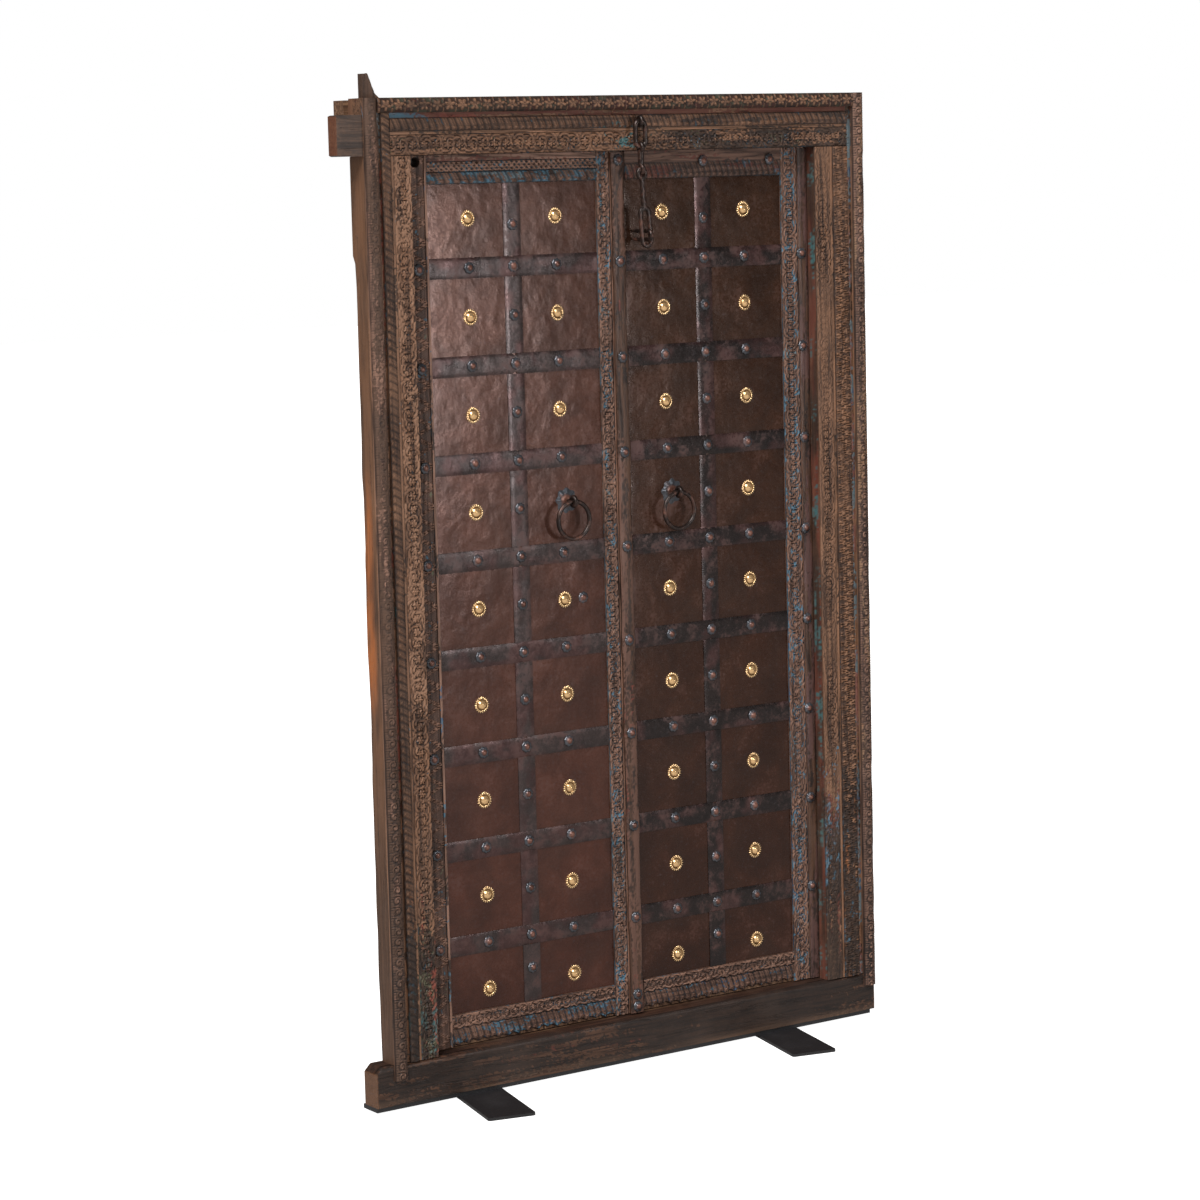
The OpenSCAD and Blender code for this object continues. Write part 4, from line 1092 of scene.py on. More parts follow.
def jamb_shell(side, sizes, seed):
    """A jamb's body from sill to head, with the measures that its tongue and tenons need."""
    low, high = box_mm(f"{side}_jamb")
    head_low = box_mm("head_beam")[0]
    sill_top = box_mm("sill")[1][2]
    stop_back = low[1] + sizes.band_rise / MM + REBATE
    rebate = box_mm("pivot_sill")[0 if side == LEFT else 1][0]
    inner, outer = (high[0], low[0]) if side == LEFT else (low[0], high[0])
    along = stations(sill_top, head_low[2], sizes.step / MM)
    corners = [(inner, stop_back), (rebate, stop_back), (rebate, high[1]), (outer, high[1])]
    back = corners if side == LEFT else corners[::-1]
    reveal_side, outer_side = (0, 4) if side == LEFT else (4, 0)
    # Heights and depth of a painted pool of warm orange light on the outer side face.
    glow_foot, glow_top, glow_front = (780, 880), (1180, 1290), (-14, 4)
    repair_foot, repair_soft = 1700, 15

    def side_paint(number, u, y, v):
        height = np.full(u.shape, 0.7)
        if number == reveal_side:
            # Painted shade on the reveal, the inner face that lies in shadow: its red-brown is kept
            # dark and soot is laid over it in broad patches. The turquoise is real paint.
            wood = layer(RED_BROWN, 0.45 + 0.5 * ramp(rough(y / 12, v / 150, 71), 0.3, 0.65))
            wood = over(wood, layer(SOOT, 0.9 * ramp(rough(y / 20, v / 120, 75), 0.40, 0.60)))
            return over(wood, traces(y, v, height, TURQUOISE, 0.34, 72, 0, 70))
        if number == outer_side:
            wood = layer((0.15, 0.07, 0.035),
                         0.5 + 0.5 * ramp(rough(y / 10, v / 180, 73), 0.3, 0.6))
            # Painted light: a pool of warm orange light painted on the outer side face, near its
            # front.
            glow = ramp(v, *glow_foot) * (1 - ramp(v, *glow_top)) * ramp(y, *glow_front)
            wood = over(wood, layer((0.38, 0.115, 0.028),
                                    glow * ramp(rough(y / 22, v / 90, 77), 0.2, 0.4)))
            dark = ramp(rough(y / 26, v / 150, 74), 0.50, 0.72)
            return over(wood, layer(SOOT, np.maximum(0.55 * dark, 0.6 * (1 - ramp(v, 420, 760)))))
        return layer(BARE_WOOD, np.full(u.shape, 0.35))

    def chipped(grid, relief, tint):
        """Chips off the back of the outer corner, most of all below the old repair."""
        u, y, v = axes(grid)
        near = ramp(6.5 - np.abs(u - outer), 0, 5) * ramp(y, low[1] + 22, high[1])
        below = ramp(-v, -repair_foot, repair_soft - repair_foot)
        bites = 0.5 * ramp(rough(v / 190, v * 0 + 3.3, 81), 0.35, 0.7) + 0.5
        depth = sizes.chips / MM * below * bites * near * (1.35 if side == LEFT else 0.3)
        inward = 1 if side == LEFT else -1
        sway = 0.8 * (rough(v / 260, u * 0 + 1.7, 82) - 0.5) * ramp(6 - np.abs(u - outer), 0, 5)
        grid[..., 1] = y - depth
        grid[..., 0] = u + inward * np.maximum(0, 0.15 * depth + np.maximum(0, sway))
        return grid, relief, tint

    body = swept(jamb_bands(side, sizes), back, along, upright, seed, sizes.wear,
                 side_paint=side_paint, shape=chipped, cell=sizes.cell / MM)
    return body, (rebate, outer, high, head_low, sill_top)


def block(low, high, tint=(0, 0, 0, 0), relief=0.75, soften=0.8):
    """A plain block with broken corners, as a swept shell along Z."""
    band_front = [band(low[0], high[0], low[1], cell=max(4.0, (high[0] - low[0]) / 6))]
    along = stations(low[2], high[2], max(3.0, (high[2] - low[2]) / 12))

    def rounded(grid, relief_values, tint_values):
        middle = [(low[i] + high[i]) / 2 for i in (0, 1, 2)]
        for axis in (0, 1):
            end = np.minimum(grid[..., 2] - low[2], high[2] - grid[..., 2])
            grid[..., axis] += np.sign(middle[axis] - grid[..., axis]) * soften * (end < 0.5)
        return grid, relief_values, tint_values + np.array(tint)

    shell, relief_values, tint_values = swept(
        band_front, rear(low, high, 0), along, upright, 7, 0, 8.0,
        shape=rounded, waver=0.0)
    return shell, relief_values * relief / 0.75, tint_values


def moulding_shell(node, sizes, motif, paint, seed, place):
    """A half-round moulding whose carving follows its round face."""
    low, high = box_mm(node)
    lengthwise = 2 if place is upright else 0
    across = 0 if place is upright else 2
    width = high[across] - low[across]
    thick = high[1] - low[1]
    edge = 0.35 * thick
    flat_band = band(low[across], high[across], high[1] - edge, motif, 0.0, paint)
    along = stations(low[lengthwise], high[lengthwise], sizes.step / MM)

    def rounded(grid, relief, tint):
        side = np.clip((grid[..., 0] - low[across] - width / 2) / (width / 2), -1, 1)
        front = np.abs(grid[..., 1] - (high[1] - edge)) < 2.0
        swell = (thick - edge) * np.sqrt(1 - side * side)
        cut = 3.0 * (1 - relief) * np.sqrt(1 - side * side) ** 0.5
        dip = 1.6 * ramp(rough(grid[..., 2] / 60, side, seed + 40), 0.55, 0.8)
        grid[..., 1] += np.where(front, cut + dip - swell, 0)
        return grid, relief, tint

    return swept([flat_band], rear(low, high, across), along, place, seed,
                 0.35 * sizes.wear, shape=rounded, cell=sizes.cell / MM, waver=0.0)


def head_bands(sizes, low, high, moulding):
    """The stepped front of the head, from its lower edge up."""
    front = low[1] + sizes.band_rise / MM
    groove, step = sizes.groove_width / MM, sizes.step_width / MM
    inner, rise, depth = sizes.inner_band / MM, sizes.band_rise / MM, sizes.band_depth / MM
    middle = (low[0] + high[0]) / 2
    z = [low[2], low[2] + inner, low[2] + inner + step, high[2] - moulding - groove,
         high[2] - moulding, high[2]]
    left_part = lambda cover: (lambda v: cover * (1 - ramp(v, middle - 90, middle - 40)))
    patch = between(middle - 60, middle + 40, 12, 0.33)
    ends = lambda v: 0.45 * ramp(-v, -(low[0] + 260), -(low[0] + 90))
    return [
        band(z[0], z[1], front, pitched(vine_scroll, sizes.scroll_pitch), depth, paints(
            (SOOT, between(middle + 50, high[0], 30, 0.60), 64, 0, 60), (SAGE, 0.16, 51),
            (SKY_BLUE, 0.15, 52), (TURQUOISE, patch, 53, 0.3),
            (PALE_WOOD, between(middle + 60, high[0], 40, 0.12), 54, 0, 60))),
        band(z[1], z[2], front + rise, paint=paints((SOOT, 0.3, 61, 0, 90), (PALE_BLUE, 0.14, 55)),
             cell=3),
        band(z[2], z[3], front - rise, pitched(slanted_leaves, sizes.rope_pitch), depth, paints(
            (SOOT, between(middle + 50, high[0], 30, 0.38), 65, 0, 60),
            (TURQUOISE, patch, 56, 0.3), (SKY_BLUE, 0.12, 57))),
        band(z[3], z[4], front + sizes.groove_depth / MM, paint=paints(
            (SOOT, left_part(0.72), 58), (RED_BROWN, 0.62, 59, 0, 150),
            (OLD_RED, left_part(0.35), 62, 0, 120), (SKY_BLUE, ends, 60, 0, 50),
            (SKY_BLUE, left_part(0.15), 63, 0, 60))),
        band(z[4], z[5], front, cell=7)]


class DOOR_OT_frame(bpy.types.Operator):
    """Carve the jambs, the head, the mouldings and the sill"""

    bl_idname = "door.frame"
    bl_label = "Carve Frame"

    def execute(self, context):
        sizes, colours = context.scene.door_carving, context.scene.door_colours
        for side, seed in ((LEFT, 11), (RIGHT, 23)):
            self.jamb(side, sizes, colours, seed)
        self.head(sizes, colours)
        self.mouldings(sizes, colours)
        self.sill(colours)
        return {"FINISHED"}

    def jamb(self, side, sizes, colours, seed):
        """A jamb with its tongue behind the head and its tenon into the sill."""
        body, (rebate, outer, high, head_low, sill_top) = jamb_shell(side, sizes, seed)
        head_high = box_mm("head_beam")[1]
        tongue_front = head_high[1]
        edges = sorted((rebate, outer))
        wood = (0.13, 0.06, 0.032, 0.8)
        tongue = block((edges[0], tongue_front, head_low[2]), (edges[1], high[1], head_high[2]),
                       wood)
        tenon_low = box_mm(f"{side}_jamb")[0][2]
        middle, half_wide, half_thick = sum(edges) / 2, 20, 7
        tenon = block((middle - half_wide, -half_thick, tenon_low),
                      (middle + half_wide, half_thick, sill_top), wood)
        shells = [body, tongue, tenon]
        if side == LEFT:
            shells.append(self.stub(outer, tongue_front, high, head_high[2]))
        add_piece(f"{side}_jamb_carved", joined(*shells), "frame",
                  timber("frame", "Z", colours), [f"{side}_jamb"])

    def stub(self, outer, front, high, foot):
        """The broken tenon above the head: upright on its left, torn on its right."""
        left, width, tip = outer + 24, 38.0, 12.0
        along = stations(foot, high[2], 2.5)

        def torn(grid, relief, tint):
            rise = (grid[..., 2] - foot) / (high[2] - foot)
            right = np.interp(rise, [0, 0.2, 1], [width, 0.72 * width, tip])
            right = right - 1.5 * rough(grid[..., 2] / 5, grid[..., 1] / 9, 91)
            grid[..., 0] = left + (grid[..., 0] - left) / width * right
            grid[..., 2] -= 3.0 * noise(grid[..., 0] / 5, grid[..., 1] / 5, 92) * (rise > 0.97)
            return grid, relief, over(tint, layer((0.05, 0.03, 0.022), np.ones(tint.shape[:2])))

        return swept([band(left, left + width, front, cell=4)],
                     [(left + width, high[1]), (left, high[1])], along, upright, 17, 0,
                     shape=torn, waver=0.3)

    def head(self, sizes, colours):
        """The head: a carved band between grooves, its corners and its horn."""
        low, high = box_mm("head_beam")
        jamb_low, jamb_high = box_mm("left_jamb")
        outer = (jamb_low[0], box_mm("right_jamb")[1][0])
        moulding = np.ptp([corner[0] for corner in box_mm("left_moulding")])
        groove, rise = sizes.groove_width / MM, sizes.band_rise / MM
        front = low[1] + rise
        depth = sizes.band_depth / MM
        corner_end = jamb_high[0] - (sizes.inner_band + sizes.step_width) / MM
        right_groove = outer[1] - moulding - groove
        beam_z = box_mm("pivot_beam")[0][2]
        stop_back = front + REBATE
        cuts = (outer[0] + moulding, outer[0] + moulding + groove, corner_end, right_groove,
                outer[1] - moulding)
        along = stations(outer[0], outer[1], sizes.step / MM, *cuts)
        upright_leaves = pitched(slanted_leaves, sizes.rope_pitch)
        seam_x, seam_half, seam_depth = 5, 1.2, 1.2
        worn_side, worn_top = 9, 12

        def corners(grid, relief, tint):
            """At both ends the jambs' outer strips run up to the top moulding."""
            u, y, v = axes(grid)
            on_front = y < front + 9
            in_band = on_front & (v > cuts[1]) & (v < cuts[2])
            left_groove, far_groove = (v > cuts[0]) & (v < cuts[1]), (v > cuts[3]) & (v < cuts[4])
            in_groove = on_front & (left_groove | far_groove)
            under = on_front & ((v < cuts[0]) | (v > cuts[4]))
            width = cuts[2] - cuts[1]
            leaf = upright_leaves(v - cuts[1], u, width)
            relief = np.where(in_band, leaf, np.where(in_groove | under, 0.7, relief))
            y = np.where(in_band, front - rise + depth * (1 - leaf), y)
            y = np.where(in_groove, front + sizes.groove_depth / MM, y)
            y = np.where(under, front, y)
            plain = over(no_paint(u, v, relief), traces(u, v, relief, SKY_BLUE, 0.2, 95))
            edge_paint = over(layer(SOOT, np.full(v.shape, 0.5)), traces(
                v, u, relief, PALE_BLUE, 0.5, 96, 0, 60))
            tint = np.where(in_band[..., None], plain, tint)
            tint = np.where(in_groove[..., None], edge_paint, tint)
            seam = np.abs(v - seam_x) < seam_half
            y = np.where(on_front & seam & ~under, y + seam_depth, y)
            round_off = (ramp(v, outer[1] - worn_side, outer[1])
                         * ramp(u, high[2] - worn_top, high[2]))
            grid = np.stack([u - 7 * round_off ** 2, y, v - 6 * round_off ** 2], -1)
            return grid, relief, tint

        def side_paint(number, u, y, v):
            return over(layer(RED_BROWN, 0.6 * ramp(rough(y / 12, v / 90, 97), 0.4, 0.7)),
                        layer(SOOT, 0.6 * ramp(rough(y / 20, v / 60, 98), 0.5, 0.7)))

        body = swept(head_bands(sizes, (outer[0], low[1], low[2]), (outer[1], high[1], high[2]),
                                moulding),
                     [(high[2], high[1]), (beam_z, high[1]), (beam_z, stop_back),
                      (low[2], stop_back)],
                     along, level, 31, sizes.wear, side_paint=side_paint, shape=corners,
                     cell=sizes.cell / MM)
        horn = self.horn((low[0], front + 2, low[2] + 1), (outer[0], high[1], low[2] + 80))
        add_piece("head_carved", joined(body, horn), "frame",
                  timber("frame", "X", colours), ["head_beam"])

    def horn(self, low, high):
        """The head's end that stands out past the left jamb, with bare end grain."""
        along = stations(low[0], high[0], 2.4, low[0] + 1)

        def weathered(grid, relief, tint):
            u, y, v = axes(grid)
            end = v < low[0] + 0.5
            middle = ((low[1] + high[1]) / 2, (low[2] + high[2]) / 2)
            near = ramp(-v, -(low[0] + 6), -low[0])
            grid[..., 1] = y + 2.2 * near * np.sign(middle[0] - y)
            grid[..., 0] = u + 2.2 * near * np.sign(middle[1] - u)
            dirt_and_shade = layer(SOOT, 0.3 * ramp(rough(u / 9, v / 30, 99), 0.4, 0.7))
            tint = np.where(end[..., None], layer((0.11, 0.035, 0.016), np.full(v.shape, 1.0)),
                            over(over(tint, layer((0.042, 0.034, 0.031), np.full(v.shape, 0.85))),
                                 dirt_and_shade))
            return grid, relief, tint

        return swept([band(low[2], high[2], low[1], cell=4)],
                     rear(low, high, 2), along, level, 37, 0.4,
                     shape=weathered, waver=1.2)

    def mouldings(self, sizes, colours):
        """The applied strips on both jambs and the head."""
        material = timber("carved", "Z", colours)
        leaf_low = pitched(curl_leaves, 0.021)

        def worn_then_leafy(u, v, width):
            """Rubbed smooth above, with leaf nodules lower down."""
            smooth_above = ramp(v, 620, 900) * (0.20 + 0.35 * noise(u / 6, v / 25, 44))
            return leaf_low(u, v, width) * (1 - smooth_above) + 0.9 * smooth_above

        add_piece("left_moulding_carved", moulding_shell(
            "left_moulding", sizes, worn_then_leafy,
            paints((SOOT, between(0, 350, 120, 0.45), 45), ((0.07, 0.038, 0.024), 0.66, 46, 0, 90),
                   (SOOT, 0.18, 42, 0, 60)), 41, upright),
            "frame", material, ["left_moulding"])
        add_piece("right_moulding_carved", moulding_shell(
            "right_moulding", sizes, leaf_low,
            paints((PALE_WOOD, between(520, 2100, 200, 0.40), 47, 0.3, 120),
                   (SOOT, between(0, 260, 120, 0.5), 48), (ORANGE_WOOD, 0.16, 49, 0, 80)), 43,
                   upright),
            "frame", material, ["right_moulding"])
        add_piece("head_moulding_carved", moulding_shell(
            "head_moulding", sizes, pitched(flower_row, sizes.flower_pitch),
            paints((SAGE, 0.22, 50), (OLD_RED, 0.16, 52)), 47, level),
            "frame", timber("frame", "X", colours), ["head_moulding"])

    def sill(self, colours):
        """The sill, trodden hollow and rounded off along its front edge."""
        low, high = box_mm("sill")
        rear_low, rear_high = box_mm("pivot_sill")
        wear, cut = 9.0, 14.0
        along = stations(low[0], high[0], 3.2, rear_low[0], rear_high[0])

        def shaped(grid, relief, tint):
            u, y, v = axes(grid)
            inside = (v > rear_low[0]) & (v < rear_high[0])
            y = np.where(inside, np.minimum(y, rear_low[1]), y)
            up = np.clip(u - (high[2] - wear), 0, wear)
            tread = 3.0 * (1 - ramp(np.abs(v - 40), 180, 420)) * (0.6 + 0.4 * noise(v / 60, u * 0,
                                                                                    3))
            y = np.where(y < low[1] + 6, y + wear - np.sqrt(np.maximum(wear ** 2 - up ** 2, 0)), y)
            end = ramp(-(v - low[0]), -cut, 0)
            top = high[2] - cut * end - tread * ramp(u, high[2] - 14, high[2]) * ramp(-y, -10, 10)
            u = np.minimum(u, top)
            below = ramp(-(u - low[2]), -16, 0) * ramp(rough(v / 120, u / 8, 66), 0.3, 0.6)
            light = layer((0.16, 0.09, 0.055), 0.5 * below)
            grain_end = (v < low[0] + 0.5) | (v > high[0] - 0.5)
            tint = over(tint, light)
            tint = np.where(grain_end[..., None],
                            layer((0.13, 0.06, 0.03), np.full(v.shape, 0.85)), tint)
            return np.stack([u, y, v], -1), np.where(y < low[1] + 2.5, relief, 0.6), tint

        body = swept([band(low[2], high[2], low[1], cell=3.2, paint=paints(
            (RED_BROWN, 0.16, 68, 0, 220), (SOOT, 0.58, 67, 0, 90),
            (SOOT, between(0, 700, 260, 0.95), 70, 0, 160)))],
            rear(low, high, 2), along, level, 53, 0.0, shape=shaped, waver=1.6)
        add_piece("sill_worn", body, "frame", timber("worn", "X", colours), ["sill"])


# ---------- leaves ----------


class DOOR_OT_leaves(bpy.types.Operator):
    """Carve the stiles, the rails and the strips of both leaves"""

    bl_idname = "door.leaves"
    bl_label = "Carve Leaves"

    def execute(self, context):
        sizes, colours = context.scene.door_carving, context.scene.door_colours
        self.hinge_stile(LEFT, sizes, colours)
        self.hinge_stile(RIGHT, sizes, colours)
        self.meeting_stile(sizes, colours)
        self.cover_strip(colours)
        self.edge_strip(colours)
        for side in (LEFT, RIGHT):
            self.rails(side, sizes, colours)
        return {"FINISHED"}

    def hinge_stile(self, side, sizes, colours):
        """A leaf's outer stile: the carving that its side has, and a rounded outer edge."""
        low, high = box_mm(f"{side}_hinge_stile")
        leaf_low, leaf_high = box_mm(f"{side}_planks")
        field = high[0] if side == LEFT else low[0]
        radius = (high[1] - low[1]) / 2
        outer = low[0] if side == LEFT else high[0]
        pivot = outer + radius if side == LEFT else outer - radius
        pintle = 11.0
        depth = sizes.leaf_depth / MM
        along = stations(leaf_low[2], leaf_high[2], sizes.step / MM)
        middle_y = (low[1] + high[1]) / 2
        blue = sizes.paint
        angles = np.radians(np.linspace(90, 270, 10))
        if side == LEFT:
            bands = [
                band(pivot, field - 5, low[1], pitched(zigzag, sizes.zigzag_pitch), depth, paints(
                    (SAGE, 0.14, 101), (SKY_BLUE, 0.40 * blue, 102), (SOOT, 0.08, 103),
                    (SKY_BLUE, between(1700, 1900, 60, 0.25), 106))),
                band(field - 5, field, low[1] + 1.5, flat, 0, paints(
                    (SOOT, 0.35, 107, 0, 60), (DEEP_BLUE, 0.22, 104, 0, 60),
                    (SKY_BLUE, 0.24, 105, 0, 40)))]
            back = [(field, high[1]), (pivot, high[1])] + [
                (pivot + radius * math.cos(a),
                 middle_y + radius * math.sin(a)) for a in angles[1:-1]]
        else:
            covered = box_mm("right_edge_strip")[0][0]
            bands = [
                band(field, covered, low[1], pitched(vine_scroll, sizes.stile_pitch), depth, paints(
                    (PALE_BLUE, 0.32, 114), (SKY_BLUE, 0.84 * blue, 111, 0.9, 14),
                    (DEEP_BLUE, between(100, 1000, 200, 0.25), 112),
                    (SOOT, 0.10, 113))),
                band(covered, pivot, low[1], cell=7)]
            back = [(pivot - radius * math.cos(a), middle_y - radius * math.sin(a))
                    for a in angles[1:-1]] + [(pivot, high[1]), (field, high[1])]

        def holed(grid, relief, tint):
            """The left stile keeps an empty bolt hole near its top."""
            u, y, v = axes(grid)
            if side == RIGHT:
                return grid, relief, tint
            hole_in, hole_down, hole_r = 28, 26, 9.5
            away = np.hypot(u - (box_mm("left_jamb")[1][0] + hole_in),
                            v - (leaf_high[2] - hole_down))
            on_front = y < low[1] + 8
            deep = ramp(hole_r - away, 0, 1.5) * on_front
            grid[..., 1] = y + 16 * deep
            relief = relief * (1 - deep)
            # Painted shade: the hole and a thin ring round it are painted soot black for the shade
            # inside it.
            tint = over(tint, layer(SOOT, ramp(hole_r + 1.5 - away, 0, 1.5) * on_front))
            return grid, relief, tint

        body = swept(bands, back, along, upright, 61 if side == LEFT else 63, sizes.wear,
                     shape=holed, cell=sizes.cell / MM)
        lower = bar((pivot, middle_y), pintle, low[2], leaf_low[2], upright)
        upper = bar((pivot, middle_y), pintle, leaf_high[2], high[2], upright)
        add_piece(f"{side}_hinge_stile_carved", joined(body, lower, upper), f"{side}_leaf",
                  timber("carved", "Z", colours), [f"{side}_hinge_stile"])

    def meeting_stile(self, sizes, colours):
        """The left leaf's carved band of foliage beside its cover strip."""
        low, high = box_mm("left_meeting_stile")
        cover = box_mm("left_cover_strip")[0][0]
        along = stations(low[2], high[2], sizes.step / MM)
        bands = [band(low[0], cover, low[1], pitched(vine_scroll, 0.92 * sizes.scroll_pitch),
                      sizes.leaf_depth / MM, paints(
                          (PALE_BLUE, 0.30, 124), (SKY_BLUE, 0.36, 121),
                          (SKY_BLUE, between(100, 900, 250, 0.22), 122),
                          (SOOT, 0.16, 123))),
                 band(cover, high[0], low[1], cell=8)]
        add_piece("left_meeting_stile_carved", swept(
            bands, rear(low, high, 0), along, upright, 67, sizes.wear,
            cell=sizes.cell / MM), "left_leaf", timber("carved", "Z", colours),
            ["left_meeting_stile"])

    def cover_strip(self, colours):
        """The plain strip that covers the gap between the leaves."""
        low, high = box_mm("left_cover_strip")
        studs = [(box[0][2] + box[1][2]) / 2 for box in solids_mm("left_edge_studs")
                 if box[0][0] > low[0] - 20]
        along = stations(low[2], high[2], 3.0)
        middle = (low[0] + high[0]) / 2

        def swollen(grid, relief, tint):
            """The strip's edges are rubbed in between its studs, and its corners are rounded."""
            u, y, v = axes(grid)
            near = np.min([np.abs(v - stud) for stud in studs], axis=0)
            pull = 1.3 * ramp(near, 14, 40) + 0.8 * rough(v / 40, u * 0, 131)
            side = (u - middle) / (high[0] - low[0]) * 2
            on_front = y < low[1] + 3
            grid[..., 0] = u - np.sign(side) * pull * np.abs(side)
            grid[..., 1] = y + np.where(on_front, 2.2 * np.abs(side) ** 4 + 0.8 * rough(
                u / 8, v / 30, 132), 0)
            return grid, np.where(on_front, 1 - 0.25 * np.abs(side), relief), tint

        body = swept([band(low[0], high[0], low[1], paint=paints(
            ((0.125, 0.062, 0.044), 0.56, 136, 0, 200), (SOOT, 0.34, 133, 0, 60),
            (SKY_BLUE, between(0, 320, 80, 0.22), 134), (OLD_RED, 0.16, 135, 0, 80)), cell=2.8)],
            rear(low, high, 0), along, upright, 71, 0.0, shape=swollen, waver=0.3)
        add_piece("left_cover_strip_worn", body, "left_leaf",
                  timber("worn", "Z", colours), ["left_cover_strip"])

    def edge_strip(self, colours):
        """The narrow strip along the right leaf's meeting edge."""
        low, high = box_mm("right_edge_strip")
        along = stations(low[2], high[2], 3.0)

        def rubbed(grid, relief, tint):
            u, y, v = axes(grid)
            near = ramp(u, low[0], low[0] + 5)
            on_front = y < low[1] + 1.5
            grid[..., 1] = y + np.where(on_front,
                                        1.2 * (1 - near) + 0.7 * rough(u / 7, v / 26, 141), 0)
            return grid, relief, tint

        body = swept([band(low[0], high[0], low[1], paint=paints(
            ((0.085, 0.042, 0.038), 0.55, 142, 0, 90), (SOOT, 0.30, 143, 0, 60),
            (SKY_BLUE, 0.16, 144)), cell=2.8)],
            rear(low, high, 0), along, upright, 73, 0.0, shape=rubbed, waver=0.2)
        add_piece("right_edge_strip_worn", body, "right_leaf",
                  timber("worn", "Z", colours), ["right_edge_strip"])

    def rails(self, side, sizes, colours):
        """The carved boards along a leaf's top and foot."""
        depth = sizes.leaf_depth / MM
        low, high = box_mm(f"{side}_top_rail")
        along = stations(low[0], high[0], sizes.step / MM)
        material = timber("carved", "X", colours)
        height = high[2] - low[2]
        if side == LEFT:
            split = low[2] + 0.34 * height
            top = [band(low[2], split, low[1], pitched(slanted_leaves, 0.5 * sizes.lattice_pitch),
                        depth,
                        paints((PALE_BLUE, 0.34, 152), (SKY_BLUE, 0.42, 151, 0.9, 14))),
                   band(split, high[2] - 25, low[1], pitched(lattice, 0.62 * sizes.lattice_pitch),
                        0.7 * depth, paints((RED_BROWN, 0.25, 153), (PALE_BLUE, 0.36, 160),
                                            (SKY_BLUE, 0.42, 159, 0.9, 14))),
                   band(high[2] - 25, high[2], low[1] + 1, paint=paints(
                       (RED_BROWN, 0.55, 154, 0, 120), (SOOT, 0.30, 155, 0, 60)))]
        else:
            top = [band(low[2], high[2], low[1], edge_leaves, depth, paints(
                (RED_BROWN, 0.46, 157, 0, 120), (SOOT, 0.26, 158, 0, 70), (SKY_BLUE, 0.19, 156)))]
        add_piece(f"{side}_top_rail_carved", swept(
            top, rear(low, high, 2), along, level, 79, 0.6 * sizes.wear,
            cell=sizes.cell / MM), f"{side}_leaf", material, [f"{side}_top_rail"])
        low, high = box_mm(f"{side}_foot_rail")
        height = high[2] - low[2]

        def ragged(grid, relief, tint):
            """The lower edge is scalloped between the leaves and broken in places."""
            u, y, v = axes(grid)
            scallop = 5.0 * np.abs(np.sin(np.pi * v / 24)) + 5.0 * rough(v / 22, v * 0, 161)
            grid[..., 0] = high[2] - (high[2] - u) * (1 - scallop / (high[2] - low[2]))
            return grid, relief, tint

        blue = 0.36 if side == LEFT else 0.24
        split = low[2] + 0.52 * height
        foot = [band(low[2], split, low[1] + 0.6, pitched(slanted_leaves, 0.9 * sizes.rope_pitch),
                     depth,
                     paints((SKY_BLUE, blue, 162), (DEEP_BLUE, 0.22, 163), (SOOT, 0.26, 164))),
                band(split, high[2], low[1], pitched(vine_scroll, 0.8 * sizes.scroll_pitch), depth,
                     paints((SKY_BLUE, 0.7 * blue, 165), (SOOT, 0.22, 166)))]
        add_piece(f"{side}_foot_rail_carved", swept(
            foot, rear(low, high, 2), along, level, 83, 0.5 * sizes.wear,
            shape=ragged, cell=sizes.cell / MM), f"{side}_leaf", material,
            [f"{side}_foot_rail"])


# ---------- iron ----------


